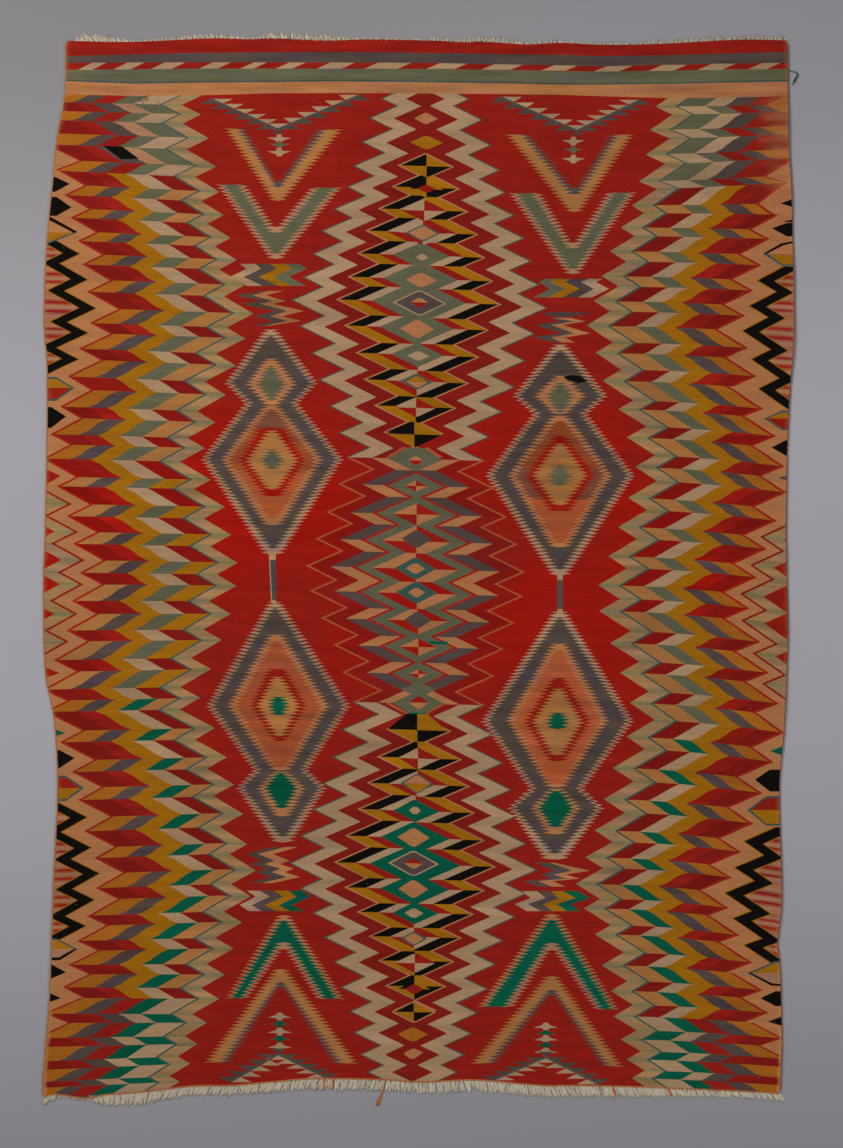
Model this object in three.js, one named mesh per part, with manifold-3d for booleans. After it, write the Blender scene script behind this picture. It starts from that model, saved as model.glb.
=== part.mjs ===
// Flat-woven wool rug with serrated and zigzag bands: one tapestry cloth, a twined cord along each side and
// across the foot, and cut cotton warp ends as a fringe at the head and the foot.
// Millimetres. +Y runs to the head, +X to the right selvedge, and the whole underside lies on Z = 0.
import * as THREE from "three";
import { mergeVertices } from "three/addons/utils/BufferGeometryUtils.js";
import Module from "manifold-3d";

const wasm = await Module();
wasm.setup();

// Driving dimensions
const CLOTH_THICKNESS = 2.4;
const GAP = 0.3; // air between neighbouring pieces
const SIDE_CORD_DIAMETER = 2.4;
const FOOT_CORD_DIAMETER = 3.2;
const CORD_SIDES = 8;
const SIDE_CORD_INSET = 4; // how far a side cord stops short of each end of the cloth
const SIDE_STEPS = 64; // straight stretches in each side of the outline
const END_STEPS = 72; // straight stretches in each end of the outline
const STRIP_WIDTH = 2.4; // the row of warp roots that each fringe grows from
const STRIP_THICKNESS = 1.8;
const STRANDS = { head: 144, foot: 148 };
const STRAND_WIDTH = { root: 5.4, middle: 6.4, tip: 2.2 };
const STRAND_HEIGHT = { root: 1.5, middle: 1.7, tip: 0.9 };
const STRAND_CREST = 0.5; // top width of a strand as a share of its foot width
const TAIL = { width: 3, height: 1.8, tipShare: 0.5 };

const COLOURS = {
  cloth: 0x9a221a,
  leftCord: 0xc89a78,
  rightCord: 0x2c5a52,
  footCord: 0xc07a3c,
  cotton: 0xc9c1a8,
};

// Left side of the rug, cord included: x at each height y.
const LEFT_SIDE = [
  { y: 1050, x: -709 },
  { y: 948, x: -711 },
  { y: 858, x: -727 },
  { y: 778, x: -735 },
  { y: 652, x: -747 },
  { y: 494, x: -753 },
  { y: 384, x: -746 },
  { y: 84, x: -750 },
  { y: -32, x: -754 },
  { y: -206, x: -750 },
  { y: -286, x: -734 },
  { y: -386, x: -726 },
  { y: -472, x: -726 },
  { y: -636, x: -734 },
  { y: -862, x: -742 },
  { y: -1026, x: -755 },
  { y: -1050, x: -755 },
];

// Right side of the rug, cord included.
const RIGHT_SIDE = [
  { y: 1050, x: 737 },
  { y: 848, x: 740 },
  { y: 736, x: 746 },
  { y: 476, x: 750 },
  { y: 324, x: 740 },
  { y: 94, x: 734 },
  { y: -134, x: 738 },
  { y: -326, x: 730 },
  { y: -440, x: 721 },
  { y: -660, x: 726 },
  { y: -742, x: 717 },
  { y: -790, x: 722 },
  { y: -938, x: 726 },
  { y: -1042, x: 722 },
];

// Head end of the cloth, where the last weft lies.
const HEAD_END = [
  { x: -703, y: 1056 },
  { x: -573, y: 1054 },
  { x: -421, y: 1061 },
  { x: -339, y: 1059 },
  { x: -296, y: 1061 },
  { x: -184, y: 1057 },
  { x: -98, y: 1059 },
  { x: 40, y: 1056 },
  { x: 88, y: 1053 },
  { x: 120, y: 1055 },
  { x: 210, y: 1049 },
  { x: 282, y: 1052 },
  { x: 368, y: 1048 },
  { x: 480, y: 1050 },
  { x: 634, y: 1058 },
  { x: 731, y: 1057 },
];

// Foot end of the cloth, above its cord.
const FOOT_END = [
  { x: -750, y: -1055 },
  { x: -734, y: -1048 },
  { x: -700, y: -1052 },
  { x: -670, y: -1057 },
  { x: -624, y: -1049 },
  { x: -554, y: -1044 },
  { x: -454, y: -1032 },
  { x: -380, y: -1031 },
  { x: -300, y: -1024 },
  { x: -210, y: -1017 },
  { x: -78, y: -1019 },
  { x: 0, y: -1024 },
  { x: 108, y: -1020 },
  { x: 218, y: -1029 },
  { x: 266, y: -1032 },
  { x: 300, y: -1031 },
  { x: 432, y: -1034 },
  { x: 674, y: -1044 },
  { x: 717, y: -1048 },
];

// How the cut warp ends lie along the head: length outwards and sideways lean of the tip.
const HEAD_FRINGE = [
  { x: -690, length: 7, lean: -2 },
  { x: -664, length: 16, lean: -8 },
  { x: -636, length: 14, lean: -8 },
  { x: -600, length: 8, lean: -4 },
  { x: -560, length: 5, lean: -1 },
  { x: -480, length: 8, lean: 2 },
  { x: -440, length: 10, lean: -5 },
  { x: -330, length: 6, lean: 2 },
  { x: -290, length: 12, lean: -2 },
  { x: -180, length: 11, lean: -3 },
  { x: -120, length: 5, lean: 0 },
  { x: 40, length: 7, lean: -1 },
  { x: 160, length: 11, lean: 4 },
  { x: 210, length: 6, lean: 0 },
  { x: 400, length: 6, lean: 1 },
  { x: 540, length: 9, lean: 5 },
  { x: 731, length: 7, lean: 2 },
];

// The same along the foot, where the ends were left longer.
const FOOT_FRINGE = [
  { x: -750, length: 17, lean: -6 },
  { x: -728, length: 15, lean: -8 },
  { x: -714, length: 6, lean: -2 },
  { x: -664, length: 5, lean: -2 },
  { x: -636, length: 19, lean: 1 },
  { x: -600, length: 25, lean: 2 },
  { x: -520, length: 23, lean: -3 },
  { x: -400, length: 19, lean: -5 },
  { x: -300, length: 22, lean: -6 },
  { x: -180, length: 24, lean: -4 },
  { x: -20, length: 23, lean: -2 },
  { x: 60, length: 24, lean: 4 },
  { x: 240, length: 23, lean: 5 },
  { x: 320, length: 23, lean: 3 },
  { x: 460, length: 19, lean: 5 },
  { x: 620, length: 14, lean: 5 },
  { x: 717, length: 15, lean: 9 },
];

// Loose yarn ends: the hooked teal one at the right side and the orange one at the foot.
const TEAL_TAIL = [
  { x: 736, y: 993 },
  { x: 746, y: 991 },
  { x: 753, y: 988 },
  { x: 753.5, y: 980 },
  { x: 751, y: 969 },
];
const ORANGE_TAIL = [
  { x: -71, y: -1025 },
  { x: -73, y: -1036 },
  { x: -76, y: -1047 },
  { x: -81, y: -1060 },
  { x: -86, y: -1072 },
];

// Points of a smooth curve through a table's rows, at even distances along it.
function smooth(rows, steps) {
  const curve = new THREE.SplineCurve(rows.map(({ x, y }) => new THREE.Vector2(x, y)));
  return curve.getSpacedPoints(steps);
}

// Value of a named column at x, on straight lines between the rows.
function columnAt(rows, x, column) {
  const next = rows.findIndex((row) => row.x >= x);
  if (next < 1) return rows[next < 0 ? rows.length - 1 : 0][column];
  const [a, b] = [rows[next - 1], rows[next]];
  return THREE.MathUtils.lerp(a[column], b[column], (x - a.x) / (b.x - a.x));
}

// Repeatable unevenness between -1 and 1 for the strand with that number.
function uneven(number, salt) {
  const value = Math.sin(number * 12.9898 + salt * 78.233) * 43758.5453;
  return 2 * (value - Math.floor(value)) - 1;
}

// Closed body through a row of sections that have the same number of corners.
function loft(sections) {
  const corners = sections[0].length;
  const index = [];
  for (let s = 0; s + 1 < sections.length; s++)
    for (let c = 0; c < corners; c++) {
      const [a, b] = [s * corners + c, s * corners + ((c + 1) % corners)];
      index.push(a, b, b + corners, a, b + corners, a + corners);
    }
  const last = (sections.length - 1) * corners;
  for (let c = 1; c + 1 < corners; c++)
    index.push(0, c + 1, c, last, last + c, last + c + 1);
  const geometry = new THREE.BufferGeometry().setFromPoints(sections.flat());
  return geometry.setIndex(index);
}

// A manifold-3d solid of a closed geometry, turned so that its faces point outwards.
function solidOf(geometry) {
  const bare = new THREE.BufferGeometry().setAttribute("position", geometry.getAttribute("position"));
  if (geometry.index) bare.setIndex(geometry.index);
  const merged = mergeVertices(bare, 1e-4);
  const vertProperties = merged.attributes.position.array;
  const triVerts = new Uint32Array(merged.index.array);
  const solid = new wasm.Manifold(new wasm.Mesh({ numProp: 3, vertProperties, triVerts }));
  if (solid.volume() > 0) return solid;
  return new wasm.Manifold(new wasm.Mesh({ numProp: 3, vertProperties, triVerts: triVerts.reverse() }));
}

function geometryOf(solid) {
  const { numProp, vertProperties, triVerts } = solid.getMesh();
  const position = new THREE.BufferAttribute(new Float32Array(vertProperties), numProp);
  return new THREE.BufferGeometry()
    .setAttribute("position", position)
    .setIndex(new THREE.BufferAttribute(triVerts, 1))
    .toNonIndexed();
}

// Corners of a round section that stands on the floor on one of its flats: sideways offset and height.
function roundSection(diameter) {
  const corner = diameter / 2 / Math.cos(Math.PI / CORD_SIDES);
  return Array.from({ length: CORD_SIDES }, (_, k) => {
    const angle = ((k + 0.5) * 2 * Math.PI) / CORD_SIDES;
    return { side: corner * Math.sin(angle), z: diameter / 2 + corner * Math.cos(angle) };
  });
}

// Corners of a rounded-off strand that lies flat on the floor.
function strandSection(width, height) {
  return [
    { side: -width / 2, z: 0 },
    { side: width / 2, z: 0 },
    { side: (width / 2) * STRAND_CREST, z: height },
    { side: (-width / 2) * STRAND_CREST, z: height },
  ];
}

// A cord beside the points: each section is shifted across the side that it follows.
function cordBeside(points, diameter, shift, axis) {
  const section = roundSection(diameter);
  return loft(
    points.map(({ x, y }) =>
      section.map(({ side, z }) =>
        axis === "x"
          ? new THREE.Vector3(x + shift + side, y, z)
          : new THREE.Vector3(x, y + shift + side, z),
      ),
    ),
  );
}

// Narrow strip of warp roots outside an end of the cloth; outwards is 1 at the head and -1 at the foot.
function rootStrip(points, start, outwards) {
  return loft(
    points.map(({ x, y }) => {
      const near = y + outwards * start;
      const far = near + outwards * STRIP_WIDTH;
      return [
        new THREE.Vector3(x, near, 0),
        new THREE.Vector3(x, far, 0),
        new THREE.Vector3(x, far, STRIP_THICKNESS),
        new THREE.Vector3(x, near, STRIP_THICKNESS),
      ];
    }),
  );
}

// One cut warp end on the floor: it leaves the strip straight and bends to its lean.
function strand({ x, y, length, lean, outwards }) {
  const stations = [
    { along: 0, across: 0, part: "root" },
    { along: 0.5, across: 0.35, part: "middle" },
    { along: 1, across: 1, part: "tip" },
  ];
  return loft(
    stations.map(({ along, across, part }) =>
      strandSection(STRAND_WIDTH[part], STRAND_HEIGHT[part]).map(
        ({ side, z }) => new THREE.Vector3(x + lean * across + side, y + outwards * length * along, z),
      ),
    ),
  );
}

// A loose yarn end along a table of points, thinner at its tip, with a section square to its way.
function tail(rows) {
  const path = new THREE.SplineCurve(rows.map(({ x, y }) => new THREE.Vector2(x, y)));
  const steps = rows.length * 2;
  return loft(
    Array.from({ length: steps + 1 }, (_, k) => {
      const t = k / steps;
      const share = THREE.MathUtils.lerp(1, TAIL.tipShare, t);
      const at = path.getPoint(t);
      const way = path.getTangent(t);
      return strandSection(TAIL.width * share, TAIL.height * share).map(
        ({ side, z }) => new THREE.Vector3(at.x - way.y * side, at.y + way.x * side, z),
      );
    }),
  );
}

// Strip and strands of one end as one body.
function fringe({ points, rows, count, start, outwards, extra = [] }) {
  const inside = points.filter(({ x }) => x >= rows[0].x - 1 && x <= rows.at(-1).x + 1);
  const root = start + STRIP_WIDTH / 2;
  const ends = [inside[0].x, inside.at(-1).x];
  const margin = STRAND_WIDTH.root / 2;
  const strands = Array.from({ length: count }, (_, k) => {
    const x = THREE.MathUtils.lerp(ends[0] + margin, ends[1] - margin, k / (count - 1));
    const length = columnAt(rows, x, "length") * (1 + 0.14 * uneven(k, 1)) + STRIP_WIDTH / 2;
    const lean = columnAt(rows, x, "lean") + 0.8 * uneven(k, 2);
    return strand({ x, y: columnAt(points, x, "y") + outwards * root, length, lean, outwards });
  });
  return wasm.Manifold.union([rootStrip(inside, start, outwards), ...strands, ...extra].map(solidOf));
}

const headPoints = smooth(HEAD_END, END_STEPS);
const footPoints = smooth(FOOT_END, END_STEPS);
const leftPoints = smooth(LEFT_SIDE, SIDE_STEPS);
const rightPoints = smooth(RIGHT_SIDE, SIDE_STEPS);

// The cloth stops short of the side cords by their diameter and the gap.
const clothInset = SIDE_CORD_DIAMETER + GAP;
const outline = [
  ...headPoints,
  ...rightPoints.map(({ x, y }) => new THREE.Vector2(x - clothInset, y)),
  ...footPoints.toReversed(),
  ...leftPoints.toReversed().map(({ x, y }) => new THREE.Vector2(x + clothInset, y)),
];
const cloth = new THREE.ExtrudeGeometry(new THREE.Shape(outline), {
  depth: CLOTH_THICKNESS,
  bevelEnabled: false,
});

const besideCloth = (points) =>
  points.filter(
    ({ x, y }) =>
      y < columnAt(headPoints, x, "y") - SIDE_CORD_INSET && y > columnAt(footPoints, x, "y") + SIDE_CORD_INSET,
  );
const sideShift = SIDE_CORD_DIAMETER / 2;
const leftCord = solidOf(cordBeside(besideCloth(leftPoints), SIDE_CORD_DIAMETER, sideShift, "x"));
const rightCord = solidOf(cordBeside(besideCloth(rightPoints), SIDE_CORD_DIAMETER, -sideShift, "x"));
const rightCordWithTail = rightCord.add(solidOf(tail(TEAL_TAIL)));
const footCord = solidOf(cordBeside(footPoints, FOOT_CORD_DIAMETER, -(GAP + FOOT_CORD_DIAMETER / 2), "y"));

const headFringe = fringe({
  points: headPoints,
  rows: HEAD_FRINGE,
  count: STRANDS.head,
  start: GAP,
  outwards: 1,
});
const footFringe = fringe({
  points: footPoints,
  rows: FOOT_FRINGE,
  count: STRANDS.foot,
  start: 2 * GAP + FOOT_CORD_DIAMETER,
  outwards: -1,
  extra: [tail(ORANGE_TAIL)],
});

const rug = new THREE.Group();
function piece(name, solid, colour) {
  const material = new THREE.MeshStandardMaterial({ color: colour, roughness: 0.95, metalness: 0 });
  const mesh = new THREE.Mesh(geometryOf(solid), material);
  mesh.name = name;
  rug.add(mesh);
}
piece("cloth_panel", solidOf(cloth), COLOURS.cloth);
piece("selvedge_cord_left", leftCord, COLOURS.leftCord);
piece("selvedge_cord_right", rightCordWithTail, COLOURS.rightCord);
piece("end_cord_foot", footCord, COLOURS.footCord);
piece("fringe_head", headFringe, COLOURS.cotton);
piece("fringe_foot", footFringe, COLOURS.cotton);

export default rug;
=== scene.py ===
"""The dressed navajo rug: one tapestry-woven wool cloth with its twined cords and warp fringes, laid flat.

The woven design is charted in millimetres. ``x`` runs from the rug's middle to its right side and ``down``
from the head end to the foot end, seen from above. A chart in loom measure lies on level wefts, and
``WeftSag`` moves it to where the wefts really run.
"""

import logging
import math
from dataclasses import dataclass, field
from enum import Enum
from typing import Sequence

import bpy
import numpy as np
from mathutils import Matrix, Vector
from mathutils.geometry import delaunay_2d_cdt


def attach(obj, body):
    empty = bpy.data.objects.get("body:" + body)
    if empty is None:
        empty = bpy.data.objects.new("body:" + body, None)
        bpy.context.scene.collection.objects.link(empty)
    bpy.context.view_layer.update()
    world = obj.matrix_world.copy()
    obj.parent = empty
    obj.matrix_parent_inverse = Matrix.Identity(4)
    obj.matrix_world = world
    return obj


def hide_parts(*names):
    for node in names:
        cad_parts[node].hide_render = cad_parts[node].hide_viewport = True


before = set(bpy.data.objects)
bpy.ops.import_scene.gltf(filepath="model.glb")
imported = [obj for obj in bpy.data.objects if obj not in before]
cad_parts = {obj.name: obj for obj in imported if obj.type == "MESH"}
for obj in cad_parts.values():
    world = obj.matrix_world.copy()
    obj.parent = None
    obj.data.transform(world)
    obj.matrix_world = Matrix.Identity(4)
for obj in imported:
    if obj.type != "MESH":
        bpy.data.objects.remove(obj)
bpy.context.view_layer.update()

LOG = logging.getLogger("rug")
MM = 0.001
HEAD_Y = 1058.0
MID_GREY = (0.5, 0.5, 0.5, 1.0)

Point = tuple[float, float]
Colour = tuple[float, float, float]


class Dye(Enum):
    """Yarn colours in the cloth, as display red, green and blue from 0 to 255."""

    FIELD_RED = (154, 31, 20)
    BRIGHT_RED = (152, 31, 20)
    DARK_RED = (134, 26, 20)
    MAROON = (137, 30, 23)
    LINE_RED = (158, 38, 24)
    GOLD = (168, 109, 14)
    ORANGE_GOLD = (170, 101, 27)
    TAN = (178, 120, 64)
    PEACH = (184, 122, 76)
    PINK_CREAM = (176, 128, 94)
    CREAM = (178, 144, 108)
    GREY_GREEN = (102, 101, 76)
    EMERALD = (4, 92, 66)
    TEAL = (60, 90, 84)
    SLATE = (86, 73, 66)
    PURPLE_SLATE = (89, 73, 68)
    BLUE_SLATE = (82, 80, 74)
    BLACK = (16, 13, 9)
    RUST = (154, 78, 42)
    TAUPE = (128, 76, 58)
    SALMON = (176, 88, 50)
    ORANGE = (200, 106, 46)
    OMBRE_GREEN = (128, 124, 84)
    OMBRE_CREAM = (174, 132, 88)


class Side(Enum):
    """Left or right of the rug; the value is the way along x from the middle."""

    LEFT = -1
    RIGHT = 1


class Weave(Enum):
    """How a patch's colour runs along the wefts; the value is how strongly it streaks."""

    EVEN = 0.35
    STREAKED = 0.8
    OMBRE = 1.0
    FLAME = 0.9


@dataclass(frozen=True)
class Turn:
    """One turning point of a zigzag, and how many teeth follow before the next listed one.

    Attributes:
        down: Distance from the head end, in loom measure.
        x: Distance right of the rug's middle.
        teeth: Teeth from here to the next turn, evenly spread.
        lift: How much higher the notch after it lies than with even slopes.
    """

    down: float
    x: float
    teeth: int = 1
    lift: float = 0.0


@dataclass(frozen=True)
class SagRow:
    """How far one weft level leaves the level line.

    Attributes:
        down: Distance from the head end.
        tilt: Fall per millimetre to the right, across the middle field.
        left: Further fall from the left panel's inner edge to the selvedge.
        right: Further fall from the right panel's inner edge to the selvedge.
    """

    down: float
    tilt: float
    left: float
    right: float


LEFT_TURNS = (
    Turn(112, -435), Turn(157, -438), Turn(207, -422), Turn(266, -407), Turn(318, -401), Turn(364, -392),
    Turn(409, -378), Turn(452, -366), Turn(501, -350), Turn(558, -333), Turn(609, -349), Turn(665, -368),
    Turn(724, -388), Turn(777, -409), Turn(828, -430), Turn(891, -418), Turn(945, -390, 2),
    Turn(1056, -364), Turn(1102, -367), Turn(1158, -378), Turn(1210, -396, 2), Turn(1325, -439),
    Turn(1389, -409), Turn(1448, -386), Turn(1502, -371), Turn(1560, -353), Turn(1619, -345),
    Turn(1669, -328), Turn(1720, -338, 3), Turn(1874, -390), Turn(1922, -401), Turn(1969, -426),
    Turn(2008, -445), Turn(2044, -459), Turn(2079, -480), Turn(2114, -488), Turn(2149, -496),
)
RIGHT_TURNS = (
    Turn(88, 484), Turn(131, 472, lift=3), Turn(173, 460, lift=4), Turn(220, 452, lift=3),
    Turn(271, 438, lift=4), Turn(317, 424), Turn(361, 402), Turn(409, 380, 2), Turn(511, 348),
    Turn(560, 334), Turn(613, 352), Turn(667, 366), Turn(724, 397, 2), Turn(842, 431), Turn(904, 417, 3),
    Turn(1080, 357), Turn(1132, 359), Turn(1196, 381, 2), Turn(1315, 420), Turn(1380, 414),
    Turn(1442, 386, 2), Turn(1568, 350, 2), Turn(1679, 312), Turn(1729, 328), Turn(1782, 350),
    Turn(1845, 364), Turn(1897, 382), Turn(1948, 388), Turn(1996, 402), Turn(2038, 414), Turn(2076, 424),
    Turn(2112, 434), Turn(2148, 444),
)
SAG_ROWS = (
    SagRow(0, 0.0, -2, 0), SagRow(110, 0.0, -6, -2), SagRow(160, 0.018, -8, -7),
    SagRow(220, 0.025, -11, -11), SagRow(300, 0.035, -16, -13), SagRow(332, 0.035, -15, 3),
    SagRow(400, 0.035, -14, 8), SagRow(520, 0.03, -11, 12), SagRow(600, 0.034, -11, 15),
    SagRow(690, 0.04, -13, 20), SagRow(800, 0.027, -9, 23), SagRow(920, 0.028, -6, 24),
    SagRow(1040, 0.029, -6, 24), SagRow(1148, 0.027, 0, 28), SagRow(1260, 0.025, 6, 26),
    SagRow(1320, 0.025, 6, 26), SagRow(1400, 0.035, 6, 29), SagRow(1500, 0.035, 8, 29),
    SagRow(1600, 0.035, 11, 31), SagRow(1660, 0.027, 11, 32), SagRow(1760, 0.02, 10, 32),
    SagRow(1820, 0.016, 6, 28), SagRow(1890, 0.012, -3, 21), SagRow(1960, 0.011, -1, 16),
    SagRow(2000, 0.006, 5, 15), SagRow(2040, 0.0, 14, 15), SagRow(2140, 0.0, 16, 12),
)


def linear(dye: Dye) -> np.ndarray:
    """Scene-linear red, green and blue of a dye."""
    value = np.array(dye.value, float) / 255.0
    return np.where(value <= 0.04045, value / 12.92, ((value + 0.055) / 1.055) ** 2.4)


def blend(first: Dye, second: Dye, share: float) -> np.ndarray:
    """Scene-linear colour with the given share of the second dye."""
    return linear(first) * (1.0 - share) + linear(second) * share


@dataclass(frozen=True)
class WeftSag:
    """Where the wefts run: level in the chart, a little slanting and bowed in the cloth.

    Attributes:
        rows: Levels down the rug, in order.
        middle_x: Where the slant turns round.
        inner_x: Distance from the middle at which the side panels' own fall begins.
        reach: Distance over which that fall builds up.
        bow: Power by which it builds up on the right.
    """

    rows: Sequence[SagRow] = SAG_ROWS
    middle_x: float = -6.0
    inner_x: float = 400.0
    reach: float = 320.0
    bow: float = 1.6

    def fall(self, x: np.ndarray, down: np.ndarray) -> np.ndarray:
        """Returns how far down from its chart level a point lies.

        Args:
            x: Distances right of the middle.
            down: Distances from the head end.

        Returns:
            The falls: tilt times the distance from middle_x, plus the panels' own fall beyond inner_x.
        """
        at = [row.down for row in self.rows]
        tilt = np.interp(down, at, [row.tilt for row in self.rows])
        left = np.interp(down, at, [row.left for row in self.rows])
        right = np.interp(down, at, [row.right for row in self.rows])
        across = np.clip(x, -self.inner_x, self.inner_x) - self.middle_x
        out_left = np.clip((-self.inner_x - x) / self.reach, 0.0, 1.2)
        out_right = np.clip((x - self.inner_x) / self.reach, 0.0, 1.2) ** self.bow
        return tilt * across + left * out_left + right * out_right

    def woven(self, points: np.ndarray) -> np.ndarray:
        """Moves loom points (x, down) to their woven place."""
        return np.stack([points[:, 0], points[:, 1] + self.fall(points[:, 0], points[:, 1])], axis=1)

    def level(self, x: float, down: float) -> float:
        """Chart level of a point measured on the woven rug."""
        return down - float(self.fall(np.array(x), np.array(down)))


@dataclass(frozen=True)
class Zigzag:
    """A woven zigzag edge: straight slants between tips and notches.

    Attributes:
        turns: Its tips.
        point: 1 if the tips point right, -1 if left.
        slope: Sideways run per millimetre down.
    """

    turns: Sequence[Turn]
    point: int
    slope: float

    def tips(self) -> list[Point]:
        """Finds all tips, teeth between the listed turns included.

        Returns:
            The tips as (x, down), from the head end down.
        """
        found: list[Point] = []
        for here, there in zip(self.turns, self.turns[1:]):
            for tooth in range(here.teeth):
                share = tooth / here.teeth
                x = here.x + (there.x - here.x) * share
                found.append((x, here.down + (there.down - here.down) * share))
        last = self.turns[-1]
        return found + [(last.x, last.down)]

    def corners(self) -> list[Point]:
        """Tips and notches in turn, as (x, down), from the first tip to the last.

        Returns:
            The corners. From a tip the edge runs back by slope times the fall, and then forward by as much
            per millimetre, so that it comes to the next tip; a lift makes the first of these limbs shorter.
        """
        tips = self.tips()
        lifts = [turn.lift for turn in self.turns[:-1] for _ in range(turn.teeth)]
        found: list[Point] = []
        for (x, down), (next_x, next_down), lift in zip(tips, tips[1:], lifts):
            back = (next_down - down - self.point * (next_x - x) / self.slope) / 2.0 - lift
            reach = self.point * self.slope * (next_down - down - back)
            found += [(x, down), (next_x - reach, down + back)]
        return found + [tips[-1]]


@dataclass
class Patch:
    """One area of one colour on the woven rug.

    Attributes:
        points: Its corners as (x, down), in order.
        colour: Scene-linear red, green and blue.
        weave: How the colour runs along the wefts.
    """

    points: np.ndarray
    colour: np.ndarray
    weave: Weave


@dataclass
class Cartoon:
    """The weaver's pattern: patches, each over those before it.

    Attributes:
        sag: Where the wefts run.
        patches: What has been charted so far.
        shade: Spread of the dye's depth from patch to patch.
        chance: Where that spread is drawn from.
    """

    sag: WeftSag = field(default_factory=WeftSag)
    patches: list[Patch] = field(default_factory=list)
    shade: float = 0.05
    chance: np.random.Generator = field(default_factory=lambda: np.random.default_rng(11))

    def lay(self, points: Sequence[Point], dye: Dye | np.ndarray, weave: Weave = Weave.EVEN,
            on_loom: bool = True, alone: bool = True) -> None:
        """Adds a patch.

        Args:
            points: Corners as (x, down).
            dye: Its dye, or a mixed scene-linear colour.
            weave: How the colour runs.
            on_loom: Whether the corners are in loom measure, and not measured on the woven rug.
            alone: Whether it has its own depth of dye, and isn't part of a longer area.
        """
        corners = np.array(points, float)
        if on_loom:
            corners = self.sag.woven(self.stepped(corners))
        colour = linear(dye) if isinstance(dye, Dye) else dye
        tone = 1.0 + (self.shade * self.chance.standard_normal() if alone else 0.0)
        self.patches.append(Patch(corners, colour * np.clip(tone, 0.85, 1.15), weave))

    @staticmethod
    def stepped(corners: np.ndarray, stride: float = 30.0) -> np.ndarray:
        """Adds corners along edges wider than a stride, so that they can follow the bowed wefts.

        Args:
            corners: Corners of a patch, n by 2.
            stride: The widest edge left whole, in millimetres.

        Returns:
            The corners with the added ones.
        """
        found = []
        for here, there in zip(corners, np.roll(corners, -1, axis=0)):
            steps = max(1, math.ceil(abs(float(there[0] - here[0])) / stride))
            found.append(here + (there - here) * (np.arange(steps) / steps)[:, None])
        return np.concatenate(found)


def slant(start: Point, end: Point, bend: float = 0.0, steps: int = 4) -> list[Point]:
    """A slanting joint between two colours.

    Args:
        start: Upper end, as (x, down).
        end: Lower end.
        bend: How much flatter than straight its ends are.
        steps: Straight pieces.

    Returns:
        Points with even falls, whose way across is t + bend * sin(2 pi t) / 2 pi of the whole.
    """
    if bend == 0.0:
        return [start, end]
    shares = np.linspace(0.0, 1.0, steps + 1)
    across = shares + bend * np.sin(2.0 * math.pi * shares) / (2.0 * math.pi)
    return [
        (start[0] + (end[0] - start[0]) * float(w), start[1] + (end[1] - start[1]) * float(t))
        for t, w in zip(shares, across)
    ]


@dataclass(frozen=True)
class Column:
    """One column of slanting patches between two zigzags.

    Attributes:
        to: Where it ends, from the zigzag that carries it.
        back: Dye below each tip, where the edge runs back.
        forward: Dye above each tip.
        weave: How its colour runs.
        mirrored: Whether the two sides of a centre group mirror each other in it.
    """

    to: float
    back: Dye
    forward: Dye
    weave: Weave = Weave.EVEN
    mirrored: bool = False


@dataclass(frozen=True)
class Zone:
    """The columns of a stretch of rows.

    Attributes:
        first: Level it starts at: of a row's upper end, or of its tip for a zone away from the inner edge.
        last: Level it ends before.
        start: Where its first column starts.
        columns: Its columns, outward.
        flare: How much longer the teeth are on either side at the panel's outer joints.
    """

    first: float
    last: float
    start: float
    columns: tuple[Column, ...]
    flare: float = 2.0


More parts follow.
